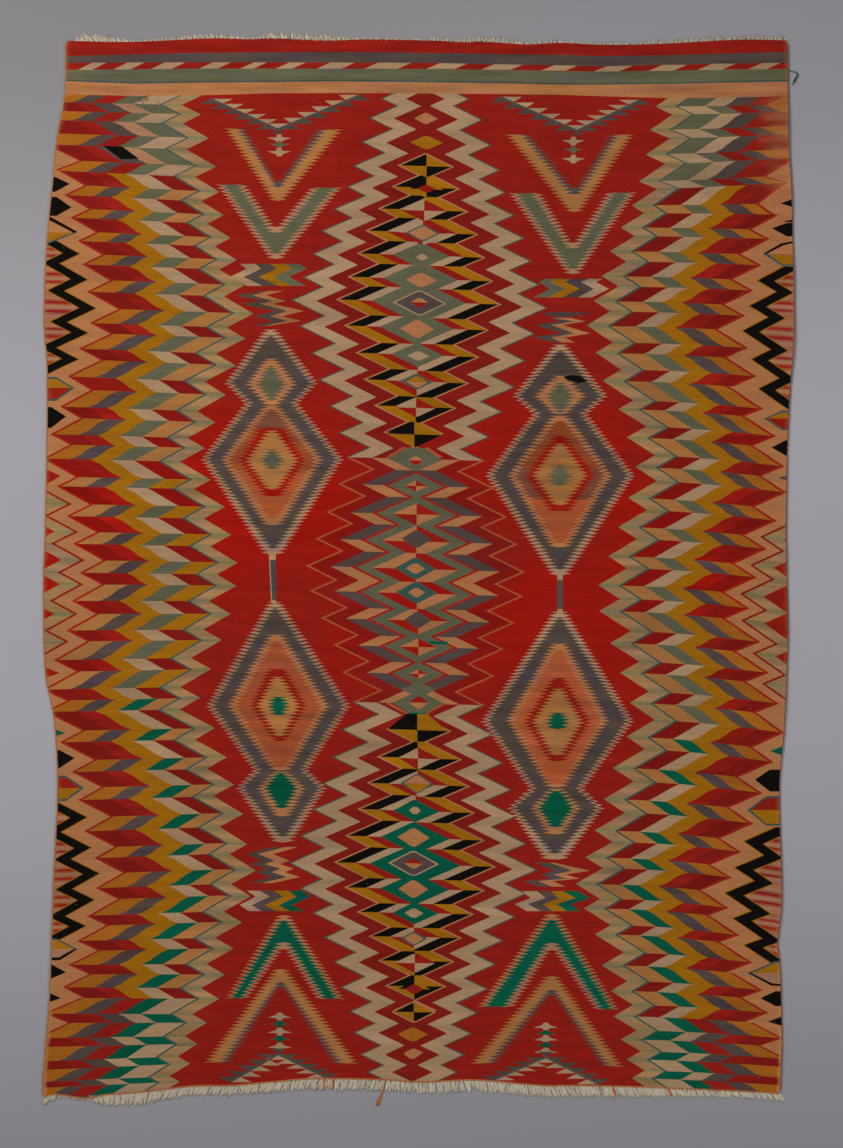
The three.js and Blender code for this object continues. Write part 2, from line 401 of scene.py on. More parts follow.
@dataclass(frozen=True)
class Panel:
    """A side panel of slanting rows in columns, nested along one zigzag.

    Attributes:
        side: Which side of the rug it is on.
        turns: Tips of its inner edge.
        zones: Stretches of rows with their columns.
        slope: Sideways run of the joints per millimetre down.
        bend: How much the outer joints flatten at their ends.
    """

    side: Side
    turns: Sequence[Turn]
    zones: tuple[Zone, ...]
    slope: float = 1.62
    bend: float = 0.4

    def chart(self, cartoon: Cartoon) -> None:
        """Lays every row of every zone, and the soft green dashes in the first column.

        Args:
            cartoon: Where the patches go.
        """
        out = self.side.value
        corners = Zigzag(self.turns, -out, self.slope).corners()
        for index, ((x0, d0), (x1, d1)) in enumerate(zip(corners, corners[1:])):
            back = index % 2 == 0
            tip = d0 if back else d1
            for zone in self.zones:
                if not zone.first <= (d0 if zone.start == 0.0 else tip) < zone.last:
                    continue
                inner = zone.start
                flare = zone.flare if back else -zone.flare
                for column in zone.columns:
                    near = self.joint((x0, d0), (x1, d1), inner, flare)
                    far = self.joint((x0, d0), (x1, d1), column.to, flare)
                    if column.weave in (Weave.OMBRE, Weave.FLAME):
                        wide = out * (column.to - inner)
                        self.dash(cartoon, near[0], near[-1], wide, column, back)
                    else:
                        cartoon.lay(near + far[::-1], column.back if back else column.forward, column.weave,
                                    alone=column.back is not column.forward)
                    inner = column.to

    def joint(self, start: Point, end: Point, across: float, flare: float) -> list[Point]:
        """One joint between two columns.

        Args:
            start: Upper end of the inner edge's slant.
            end: Its lower end.
            across: Distance of the joint from the inner edge.
            flare: How far the joint's ends swing, where it is far out: the upper one in, the lower one out.

        Returns:
            Its points.
        """
        out = self.side.value
        swing = flare * float(np.clip((across - 60.0) / 200.0, 0.0, 1.2))
        upper = (start[0] + out * (across - swing), start[1])
        lower = (end[0] + out * (across + swing), end[1])
        return slant(upper, lower, self.curve(across))

    def curve(self, across: float) -> float:
        """Bend of the joint at a distance from the inner edge: only those of the middle columns curve."""
        begins, ends = (across - 80.0) / 60.0, (262.0 - across) / 30.0
        return self.bend * float(np.clip(begins, 0.0, 1.0) * np.clip(ends, 0.0, 1.0))

    def dash(
        self, cartoon: Cartoon, start: Point, end: Point, wide: float, column: Column, back: bool
    ) -> None:
        """Lays one row of a shaded column, carded over to the other dye at both ends or at the tip.

        Args:
            cartoon: Where the patches go.
            start: Upper inner corner.
            end: Lower inner corner.
            wide: Width of the column, outward.
            column: The column, with its two dyes.
            back: Whether the tip is at the row's upper end.
        """
        if column.weave is Weave.OMBRE:
            stops = (0.0, 0.10, 0.20, 0.32, 0.68, 0.80, 0.90, 1.0)
            shares = (0.75, 0.5, 0.2, 0.0, 0.2, 0.5, 0.75)
            pale, deep = column.forward, column.back
        else:
            stops = (0.0, 0.13, 0.22, 0.38, 0.50, 0.72, 1.0)
            shares = (0.12, 0.7, 1.0, 0.55, 0.1, 0.35)
            pale, deep = column.back, column.forward
        upper, lower = (start, end) if back or column.weave is Weave.OMBRE else (end, start)
        for t0, t1, share in zip(stops, stops[1:], shares):
            xa, da = (a + (b - a) * t0 for a, b in zip(upper, lower))
            xb, db = (a + (b - a) * t1 for a, b in zip(upper, lower))
            cartoon.lay([(xa, da), (xa + wide, da), (xb + wide, db), (xb, db)], blend(pale, deep, share),
                        Weave.STREAKED)


def line(to: float, dye: Dye) -> Column:
    """A column of one dye in both kinds of row."""
    return Column(to, dye, dye)


def head_columns(pale: Dye, amber: float) -> tuple[Column, ...]:
    """Columns of the head end's rows.

    Args:
        pale: Dye of the pale patches.
        amber: Where the amber column ends.

    Returns:
        The columns, from the shaded one to the peach ground.
    """
    return (
        Column(39, Dye.OMBRE_GREEN, Dye.OMBRE_CREAM, Weave.OMBRE), line(44, Dye.TEAL),
        Column(98, Dye.CREAM, Dye.GREY_GREEN), Column(139, Dye.GREY_GREEN, pale),
        Column(182, Dye.BRIGHT_RED, Dye.SLATE), Column(218, Dye.SLATE, Dye.BRIGHT_RED),
        Column(amber, Dye.ORANGE_GOLD, Dye.DARK_RED), line(amber + 8, Dye.LINE_RED), line(480, Dye.PEACH),
    )


def foot_columns(widths: Sequence[float]) -> tuple[Column, ...]:
    """Columns of the foot end's rows.

    Args:
        widths: Where the five columns from the first green one to the amber one end.

    Returns:
        The columns, from the shaded one to the peach ground.
    """
    ends = list(widths)
    return (
        Column(39, Dye.OMBRE_GREEN, Dye.OMBRE_CREAM, Weave.OMBRE), line(45, Dye.TEAL),
        Column(ends[0], Dye.CREAM, Dye.EMERALD), Column(ends[1], Dye.EMERALD, Dye.CREAM),
        Column(ends[2], Dye.BRIGHT_RED, Dye.SLATE), Column(ends[3], Dye.SLATE, Dye.BRIGHT_RED),
        Column(ends[4], Dye.ORANGE_GOLD, Dye.DARK_RED), line(ends[4] + 8, Dye.LINE_RED), line(480, Dye.PEACH),
    )


def main_columns(green: Dye, tan: Dye, amber: Dye, widths: Sequence[float]) -> tuple[Column, ...]:
    """Columns of the long middle stretch of a panel.

    Args:
        green: Dye of the green patches.
        tan: Dye of the pale patches beside the first zigzag line.
        amber: Dye of the outermost pale patches.
        widths: Where the nine columns end.

    Returns:
        The columns, from the shaded one to the peach ground.
    """
    ends = list(widths)
    return (
        Column(ends[0], Dye.OMBRE_GREEN, Dye.OMBRE_CREAM, Weave.OMBRE), line(ends[1], Dye.TEAL),
        Column(ends[2], tan, Dye.DARK_RED), Column(ends[3], green, Dye.CREAM), line(ends[4], Dye.GOLD),
        Column(ends[5], Dye.PURPLE_SLATE, Dye.BRIGHT_RED, Weave.STREAKED),
        Column(ends[6], amber, Dye.DARK_RED), line(ends[7], Dye.LINE_RED), line(ends[8], Dye.PEACH),
    )


LEFT_WIDTHS = (37, 43, 92, 138, 178, 217, 264, 272, 480)
LEFT_LOW_WIDTHS = (38, 44, 84, 124, 168, 208, 260, 268, 480)
LEFT_FOOT_WIDTHS = (38, 44, 88, 130, 174, 214, 266, 274, 480)
RIGHT_HEAD_WIDTHS = (41, 47, 98, 138, 178, 219, 249, 258, 480)
RIGHT_TOP_WIDTHS = (41, 47, 98, 138, 178, 219, 257, 266, 480)
RIGHT_WIDTHS = (40, 46, 92, 130, 170, 206, 247, 256, 480)
RIGHT_LOW_WIDTHS = (40, 46, 90, 126, 166, 203, 245, 254, 480)
RIGHT_FOOT_WIDTHS = (40, 46, 92, 130, 174, 213, 258, 267, 480)


def black_zone(first: float, last: float, start: float, wide: float) -> Zone:
    """A black zigzag with gold rims, and the shaded points between it and the selvedge.

    Args:
        first: Level just above its first tip.
        last: Level just below its last tip.
        start: Its distance from the panel's inner edge.
        wide: Width of the black.

    Returns:
        The zone.
    """
    return Zone(first, last, start - 4, (
        line(start, Dye.GOLD), line(start + wide, Dye.BLACK), line(start + wide + 4, Dye.GOLD),
        Column(start + 200, Dye.PINK_CREAM, Dye.LINE_RED, Weave.FLAME),
    ))


def thin_zone(first: float, last: float, start: float) -> Zone:
    """A thin dark red zigzag with a shaded cream ground and red points at the selvedge.

    Args:
        first: Level just above its first tip.
        last: Level just below its last tip.
        start: Its distance from the panel's inner edge.

    Returns:
        The zone.
    """
    return Zone(first, last, start, (
        line(start + 8, Dye.MAROON), Column(start + 47, Dye.OMBRE_GREEN, Dye.OMBRE_CREAM, Weave.OMBRE),
        line(start + 200, Dye.BRIGHT_RED),
    ))


LEFT_PANEL = Panel(Side.LEFT, LEFT_TURNS, (
    Zone(0, 225, 0.0, head_columns(Dye.PINK_CREAM, 420), 4.0),
    Zone(225, 285, 0.0, head_columns(Dye.PINK_CREAM, 270), 4.0),
    Zone(285, 880, 0.0, main_columns(Dye.GREY_GREEN, Dye.TAN, Dye.ORANGE_GOLD, LEFT_WIDTHS)),
    Zone(880, 1320, 0.0, main_columns(Dye.GREY_GREEN, Dye.GOLD, Dye.TAN, LEFT_WIDTHS)),
    Zone(1320, 1740, 0.0, main_columns(Dye.EMERALD, Dye.TAN, Dye.ORANGE_GOLD, LEFT_LOW_WIDTHS)),
    Zone(1740, 1915, 0.0, main_columns(Dye.EMERALD, Dye.TAN, Dye.ORANGE_GOLD, LEFT_FOOT_WIDTHS)),
    Zone(1915, 1990, 0.0, foot_columns((102, 145, 190, 230, 280)), 9.0),
    Zone(1990, 2400, 0.0, foot_columns((102, 145, 190, 230, 460)), 9.0),
    black_zone(450, 680, 317, 33), thin_zone(935, 1220, 308), black_zone(1550, 1780, 315, 33),
), slope=1.76)
RIGHT_PANEL = Panel(Side.RIGHT, RIGHT_TURNS, (
    Zone(0, 235, 0.0, head_columns(Dye.CREAM, 420), 4.0),
    Zone(235, 285, 0.0, head_columns(Dye.CREAM, 250), 4.0),
    Zone(285, 330, 0.0, main_columns(Dye.GREY_GREEN, Dye.TAN, Dye.ORANGE_GOLD, RIGHT_HEAD_WIDTHS), 4.0),
    Zone(330, 650, 0.0, main_columns(Dye.GREY_GREEN, Dye.TAN, Dye.ORANGE_GOLD, RIGHT_TOP_WIDTHS), 4.0),
    Zone(650, 1372, 0.0, main_columns(Dye.GREY_GREEN, Dye.TAN, Dye.ORANGE_GOLD, RIGHT_WIDTHS), 4.0),
    Zone(1372, 1840, 0.0, main_columns(Dye.EMERALD, Dye.TAN, Dye.ORANGE_GOLD, RIGHT_LOW_WIDTHS), 4.0),
    Zone(1840, 1945, 0.0, main_columns(Dye.EMERALD, Dye.TAN, Dye.ORANGE_GOLD, RIGHT_FOOT_WIDTHS), 4.0),
    Zone(1945, 2010, 0.0, foot_columns((98, 139, 185, 228, 278)), 6.0),
    Zone(2010, 2400, 0.0, foot_columns((98, 139, 185, 228, 460)), 6.0),
    black_zone(450, 680, 314, 33), thin_zone(950, 1265, 285), black_zone(1560, 1790, 301, 37),
))


@dataclass(frozen=True)
class Wide:
    """One pair of tips of the centre column's edges.

    Attributes:
        down: Their level.
        left: Left tip.
        right: Right tip.
        teeth: Teeth from here to the next pair.
    """

    down: float
    left: float
    right: float
    teeth: int = 1


@dataclass(frozen=True)
class Heart:
    """The innermost diamond of one figure in the centre column.

    Attributes:
        down: Its middle level.
        wide: Half its width.
        tall: Height of its upper half.
        top: Dye of its upper half, or of its upper left and lower right quarters.
        bottom: Dye of its lower half, or of the other two quarters, where it isn't the same.
        rim: Thickness of an outline round it, across.
        rim_dye: Dye of that outline.
        quartered: Whether it is in quarters.
        drop: Height of its lower half, if not the same.
        blunt: Half the width of its upper and of its lower end.
    """

    down: float
    wide: float
    tall: float
    top: Dye
    bottom: Dye | None = None
    rim: float = 0.0
    rim_dye: Dye = Dye.TEAL
    quartered: bool = False
    drop: float = 0.0
    blunt: tuple[float, float] = (4.0, 4.0)


@dataclass(frozen=True)
class CentreGroup:
    """A run of nested diamonds down the middle of the rug.

    Attributes:
        pairs: Tips of its outer edges.
        columns: Nested bands from the outer edge inward; on the right side their two dyes change places.
        hearts: Diamonds in the middle.
        rise: How much higher the tips of the inner bands lie, from the fourth.
        reach: How much further out those tips lie on the right.
        slope: Sideways run of the edges per millimetre down.
        plain_end: Whether the last row of a mirrored band keeps the dye of the one before.
    """

    pairs: Sequence[Wide]
    columns: tuple[Column, ...]
    hearts: Sequence[Heart]
    rise: float = 0.0
    reach: float = 0.0
    slope: float = 2.15
    plain_end: bool = False

    def axis(self, down: float) -> float:
        """Middle line between the two edges' tips at a level."""
        middles = [(pair.left + pair.right) / 2 for pair in self.pairs]
        return float(np.interp(down, [pair.down for pair in self.pairs], middles))

    def chart(self, cartoon: Cartoon) -> None:
        """Lays the bands of both sides from the outside in, then the hearts.

        Args:
            cartoon: Where the patches go.
        """
        left = Zigzag([Turn(p.down, p.left, p.teeth) for p in self.pairs], -1, self.slope).corners()
        right = Zigzag([Turn(p.down, p.right, p.teeth) for p in self.pairs], 1, self.slope).corners()
        start = 0.0
        for place, column in enumerate(self.columns):
            rise = self.rise if place > 2 else 0.0
            for way, corners in ((1, left), (-1, right)):
                inset = start - (self.reach if way < 0 and place > 2 else 0.0)
                for index, (upper, lower) in enumerate(zip(corners, corners[1:])):
                    back = (index % 2 == 0) == (way == 1 or column.mirrored)
                    if self.plain_end and column.mirrored and index == len(corners) - 2:
                        back = not back
                    ends = [
                        (x, down - rise * min(1.0, (down - corners[0][1]) / 60.0))
                        for x, down in (upper, lower)
                    ]
                    self.band(cartoon, *ends, way, inset, column.back if back else column.forward)
            start = column.to
        for heart in self.hearts:
            self.heart(cartoon, heart)

    def band(self, cartoon: Cartoon, upper: Point, lower: Point, way: int, inset: float, dye: Dye) -> None:
        """Lays the ground from an inset edge to the middle line, unless the edge has crossed it.

        Args:
            cartoon: Where the patches go.
            upper: Upper end of the outer edge.
            lower: Its lower end.
            way: 1 where the middle is to the right of the edge, else -1.
            inset: Distance of the band's edge from the outer edge.
            dye: Dye of the ground.
        """
        middle = self.axis((upper[1] + lower[1]) / 2)
        room_up = way * (middle - upper[0]) - inset
        room_low = way * (middle - lower[0]) - inset
        if room_up <= 0.0 and room_low <= 0.0:
            return
        start, end = 0.0, 1.0
        if room_up < 0.0:
            start = room_up / (room_up - room_low)
        if room_low < 0.0:
            end = room_up / (room_up - room_low)
        ends = []
        for share in (start, end):
            x = upper[0] + (lower[0] - upper[0]) * share + way * inset
            ends.append((x, upper[1] + (lower[1] - upper[1]) * share))
        cartoon.lay([ends[0], ends[1], (middle, ends[1][1]), (middle, ends[0][1])], dye)

    def heart(self, cartoon: Cartoon, heart: Heart) -> None:
        """Lays one heart.

        Args:
            cartoon: Where the patches go.
            heart: The diamond.
        """
        middle, down, wide = self.axis(heart.down), heart.down, heart.wide
        high, low = down - heart.tall, down + (heart.drop or heart.tall)
        top, foot = heart.blunt
        core = (middle, down)
        if heart.rim > 0.0:
            out, more = wide + heart.rim, heart.rim / self.slope
            cartoon.lay([(middle - out, down), (middle - top, high - more), (middle + top, high - more),
                         (middle + out, down), (middle + foot, low + more), (middle - foot, low + more)],
                        heart.rim_dye)
        bottom = heart.bottom or heart.top
        across = bottom if heart.quartered else heart.top
        under = heart.top if heart.quartered else bottom
        for corners, dye in (
            ([(middle - wide, down), (middle - top, high), (middle, high), core], heart.top),
            ([(middle, high), (middle + top, high), (middle + wide, down), core], across),
            ([(middle - wide, down), core, (middle, low), (middle - foot, low)], bottom),
            ([core, (middle + wide, down), (middle + foot, low), (middle, low)], under),
        ):
            cartoon.lay(corners, dye, alone=False)


def diamond_columns(green: Dye) -> tuple[Column, ...]:
    """Bands of the upper and lower centre groups.

    Args:
        green: Dye of the innermost ground.

    Returns:
        The bands, from the outer edge inward.
    """
    return (
        line(5, Dye.TEAL), line(50, Dye.CREAM), line(89, Dye.MAROON), line(95, Dye.PEACH),
        Column(132, Dye.GOLD, Dye.BLACK), Column(161, Dye.BRIGHT_RED, Dye.CREAM), line(400, green),
    )


HEAD_GROUP = CentreGroup(
    (
        Wide(70, -62, 84), Wide(118, -78, 100), Wide(158, -102, 127), Wide(207, -117, 144),
        Wide(256, -134, 161), Wide(299, -146, 173), Wide(344, -173, 190), Wide(389, -198, 210),
        Wide(435, -215, 224), Wide(482, -234, 240), Wide(528, -257, 256), Wide(580, -241, 231),
        Wide(634, -218, 212), Wide(687, -202, 191), Wide(738, -181, 166), Wide(790, -162, 140),
        Wide(838, -146, 130),
    ),
    diamond_columns(Dye.GREY_GREEN), (
        Heart(158, 40, 20, Dye.MAROON), Heart(157, 24, 11, Dye.PEACH, blunt=(3, 2)),
        Heart(205, 48, 21, Dye.MAROON), Heart(205, 33, 13, Dye.GOLD),
        Heart(252, 50, 21, Dye.BLACK, Dye.GOLD, quartered=True),
        Heart(298, 34, 16, Dye.BLACK, Dye.GOLD, quartered=True), Heart(297, 19, 7, Dye.BRIGHT_RED),
        Heart(341, 42, 20, Dye.CREAM, Dye.BRIGHT_RED, quartered=True),
        Heart(386, 47, 23, Dye.CREAM, Dye.BRIGHT_RED, quartered=True), Heart(386, 28, 13, Dye.PEACH, rim=6),
        Heart(434, 46, 21, Dye.GREY_GREEN), Heart(434, 12, 6, Dye.CREAM),
        Heart(480, 62, 28, Dye.GREY_GREEN), Heart(480, 31, 14, Dye.PEACH),
        Heart(526, 48, 22, Dye.PURPLE_SLATE, Dye.PURPLE_SLATE, 6, Dye.CREAM),
        Heart(525, 17, 9, Dye.PEACH, Dye.BRIGHT_RED), Heart(578, 60, 27, Dye.GREY_GREEN),
        Heart(578, 34, 18, Dye.PEACH), Heart(632, 46, 20, Dye.GREY_GREEN), Heart(632, 22, 9, Dye.CREAM),
        Heart(684, 22, 11, Dye.GOLD, Dye.PEACH, rim=6),
        Heart(736, 38, 17, Dye.CREAM, Dye.BRIGHT_RED, quartered=True),
        Heart(789, 55, 25, Dye.BLACK, Dye.GOLD, quartered=True),
    ),
    rise=4.0, reach=-3.0,
)
MIDDLE_GROUP_UPPER = CentreGroup(
    (
        Wide(838, -147, 130), Wide(892, -164, 149), Wide(949, -187, 175), Wide(1003, -209, 196),
        Wide(1058, -228, 211), Wide(1107, -220, 207),
    ),
    (
        line(8, Dye.SALMON), line(50, Dye.MAROON), Column(91, Dye.PEACH, Dye.PURPLE_SLATE, mirrored=True),
        line(101, Dye.LINE_RED), line(133, Dye.GREY_GREEN), Column(400, Dye.BRIGHT_RED, Dye.PEACH),
    ),
    (
        Heart(839, 53, 23, Dye.GREY_GREEN, blunt=(20, 4)), Heart(841, 15, 8, Dye.PEACH, Dye.BRIGHT_RED),
        Heart(998, 30, 17, Dye.SLATE), Heart(1057, 41, 21, Dye.TEAL), Heart(1057, 19, 10, Dye.PEACH),
    ),
    plain_end=True,
)
MIDDLE_GROUP_LOWER = CentreGroup(
    (
        Wide(1107, -220, 207), Wide(1161, -198, 190), Wide(1214, -173, 168), Wide(1268, -156, 150),
        Wide(1327, -134, 130),
    ),
    (
        line(8, Dye.SALMON), line(50, Dye.MAROON), Column(91, Dye.PURPLE_SLATE, Dye.PEACH, mirrored=True),
        line(101, Dye.LINE_RED), line(133, Dye.GREY_GREEN), Column(400, Dye.BRIGHT_RED, Dye.PEACH),
    ),
    (
        Heart(1105, 41, 21, Dye.TEAL), Heart(1105, 17, 9, Dye.PEACH), Heart(1160, 27, 16, Dye.SLATE),
        Heart(1299, 34, 15, Dye.GREY_GREEN),
        Heart(1327, 53, 24, Dye.GREY_GREEN, Dye.GREY_GREEN, drop=19, blunt=(4, 18)),
        Heart(1325, 20, 12, Dye.BRIGHT_RED, Dye.PEACH),
    ),
)
FOOT_GROUP = CentreGroup(
    (
        Wide(1327, -136, 130), Wide(1384, -157, 147), Wide(1440, -175, 168), Wide(1493, -195, 184),
        Wide(1546, -214, 194), Wide(1600, -239, 214), Wide(1653, -261, 236), Wide(1702, -240, 214),
        Wide(1750, -215, 192), Wide(1798, -192, 168), Wide(1846, -173, 153), Wide(1896, -159, 137),
        Wide(1944, -141, 117), Wide(1986, -133, 105), Wide(2029, -120, 90), Wide(2064, -106, 76),
        Wide(2105, -90, 60),
    ),
    diamond_columns(Dye.EMERALD), (
        Heart(1380, 59, 34, Dye.BLACK, Dye.GOLD, quartered=True, drop=20, blunt=(19, 13)),
        Heart(1437, 39, 20, Dye.CREAM, Dye.BRIGHT_RED, quartered=True),
        Heart(1487, 27, 16, Dye.PEACH, Dye.GOLD, rim=6), Heart(1541, 40, 21, Dye.EMERALD),
        Heart(1541, 12, 7, Dye.CREAM), Heart(1595, 64, 30, Dye.EMERALD), Heart(1595, 32, 18, Dye.PEACH),
        Heart(1647, 45, 22, Dye.PURPLE_SLATE, Dye.PURPLE_SLATE, 6, Dye.CREAM),
        Heart(1647, 18, 10, Dye.BRIGHT_RED, Dye.PEACH), Heart(1698, 60, 27, Dye.EMERALD),
        Heart(1698, 30, 17, Dye.PEACH), Heart(1746, 42, 20, Dye.EMERALD), Heart(1746, 19, 9, Dye.CREAM),
        Heart(1797, 20, 10, Dye.PEACH, rim=6),
        Heart(1846, 40, 18, Dye.CREAM, Dye.BRIGHT_RED, quartered=True),
        Heart(1898, 32, 15, Dye.BLACK, Dye.GOLD, quartered=True), Heart(1898, 19, 9, Dye.BRIGHT_RED),
        Heart(1988, 54, 29, Dye.MAROON), Heart(1988, 30, 14, Dye.ORANGE_GOLD, blunt=(2, 5)),
        Heart(1944, 39, 18, Dye.BLACK, Dye.GOLD, 6, Dye.PEACH, True), Heart(2028, 17, 9, Dye.PEACH),
        Heart(2063, 16, 10, Dye.MAROON),
    ),
    rise=4.0, reach=6.0,
)


@dataclass(frozen=True)
class Saw:
    """A saw-toothed joint, as where two colours meet on alternate wefts.

    Attributes:
        pitch: Height of one tooth.
        reach: How far a tooth stands out on either side.
    """

    pitch: float = 6.8
    reach: float = 8.0

    def along(self, path: Sequence[Point]) -> list[Point]:
        """Cuts teeth into a path.

        Args:
            path: Corners as (x, down).

        Returns:
            Points at every half pitch of fall, in turn reach to the left and to the right of the path.
        """
        found: list[Point] = []
        for (x0, d0), (x1, d1) in zip(path, path[1:]):
            halves = max(2, 2 * round(abs(d1 - d0) / self.pitch))
            for half in range(halves):
                share = (half + 0.5) / halves
                swing = self.reach if half % 2 else -self.reach
                found.append((x0 + (x1 - x0) * share + swing, d0 + (d1 - d0) * share))
        return found


@dataclass(frozen=True)
class Vee:
    """A saw-toothed V, or one turned over, in nested colours.

    Attributes:
        left: Outer and inner ends of the left arm's top, and their level, as (outer x, inner x, down).
        tip: Outer and inner levels of the tip, and its x, as (x, outer down, inner down).
        right: Inner and outer ends of the right arm's top, as (inner x, outer x, down).
        bands: Shares of the arm's width from its outer edge, as (start, end, dye), each over those before.
        blunt: Half the tip's width.
        saw: The teeth of its edges.
    """

    left: tuple[float, float, float]
    tip: tuple[float, float, float]
    right: tuple[float, float, float]
    bands: tuple[tuple[float, float, Dye], ...]
    blunt: float = 6.0
    saw: Saw = Saw()

    def chart(self, cartoon: Cartoon) -> None:
        """Lays each band between its two shares of the arms' width."""
        for start, end, dye in self.bands:
            cartoon.lay(self.edge(start) + self.edge(end)[::-1], dye, on_loom=False)

    def edge(self, share: float) -> list[Point]:
        """Draws the saw-toothed line at a share of the arms' width from their outer edge.

        Args:
            share: The share, from 0 at the outer edge to 1.

        Returns:
            Its corners, from the left arm over the tip to the right arm.
        """
        left_out, left_in, left_down = self.left
        right_in, right_out, right_down = self.right
        x, low, high = self.tip
        tip = low + (high - low) * share
        left = self.saw.along([(left_out + (left_in - left_out) * share, left_down), (x - self.blunt, tip)])
        right_x = right_out + (right_in - right_out) * share
        right = self.saw.along([(x + self.blunt, tip), (right_x, right_down)])
        return left + right


TAN_BANDS = ((0.0, 1.0, Dye.BLUE_SLATE), (0.0, 0.72, Dye.PEACH), (0.0, 0.60, Dye.TAN))
GREEN_BANDS = ((0.0, 1.0, Dye.PINK_CREAM), (0.16, 0.82, Dye.GREY_GREEN))
EMERALD_BANDS = ((0.0, 1.0, Dye.PEACH), (0.5, 1.0, Dye.PINK_CREAM), (0.16, 0.80, Dye.EMERALD))
VEES = (
    Vee((-386, -354, 176), (-284, 324, 286), (-200, -158, 178), TAN_BANDS),
    Vee((176, 214, 188), (310, 346, 298), (386, 424, 188), TAN_BANDS),
    Vee((-402, -354, 288), (-288, 440, 376), (-212, -160, 294), GREEN_BANDS),
    Vee((182, 236, 305), (306, 470, 408), (380, 428, 304), GREEN_BANDS),
    Vee((-384, -350, 1918), (-272, 1748, 1816), (-200, -156, 1919), EMERALD_BANDS),
    Vee((120, 182, 1935), (264, 1746, 1818), (356, 394, 1940), EMERALD_BANDS),
    Vee((-426, -386, 2046), (-278, 1856, 1892), (-166, -128, 2048), TAN_BANDS),
    Vee((106, 146, 2048), (264, 1870, 1908), (370, 402, 2054), TAN_BANDS),
)


@dataclass(frozen=True)
class Ring:
    """One saw-toothed shape of a lozenge figure, the same on both sides.

    Attributes:
        profile: Half widths down it, as (down, half width).
        dye: Its dye.
    """

    profile: tuple[Point, ...]
    dye: Dye


@dataclass(frozen=True)
class Lozenge:
    """Two saw-toothed diamonds joined at a waist, with nested diamonds in both.

    Attributes:
        top: Its upper end on its middle line, as (x, down).
        foot: Its lower end.
        profile: Half widths down its outline, as (down, half width) from its upper to its lower point.
        rings: What lies in it, from the largest.
        rim: Width of its pale rim.
        saw: The teeth of its edges.
    """

    top: Point
    foot: Point
    profile: tuple[Point, ...]
    rings: tuple[Ring, ...]
    rim: float = 6.5
    saw: Saw = Saw()

    def chart(self, cartoon: Cartoon) -> None:
        """Lays the pale rim, the slate body inside it, and the rings.

        Args:
            cartoon: Where the patches go.
        """
        self.outline(cartoon, self.profile, Dye.CREAM)
        steep = self.rim * 1.7
        body = [(down, max(wide - self.rim, 5.0)) for down, wide in self.profile[1:-1]]
        body = [(self.profile[0][0] + steep, 4.0)] + body + [(self.profile[-1][0] - steep, 5.0)]
        self.outline(cartoon, body, Dye.SLATE)
        for ring in self.rings:
            self.outline(cartoon, ring.profile, ring.dye)

    def outline(self, cartoon: Cartoon, half: Sequence[Point], dye: Dye) -> None:
        """Lays a shape with the same teeth on both sides of the leaning middle line.

        Args:
            cartoon: Where the patches go.
            half: Its half widths, as (down, half width).
            dye: Its dye.
        """
        toothed = self.saw.along([(-wide, down) for down, wide in half])
        downs = [down for _, down in toothed]
        middle = np.interp(downs, [self.top[1], self.foot[1]], [self.top[0], self.foot[0]])
        left = [(float(m) + x, down) for m, (x, down) in zip(middle, toothed)]
        right = [(float(m) - x, down) for m, (x, down) in zip(middle, toothed)]
        cartoon.lay(left + right[::-1], dye, Weave.STREAKED, on_loom=False)


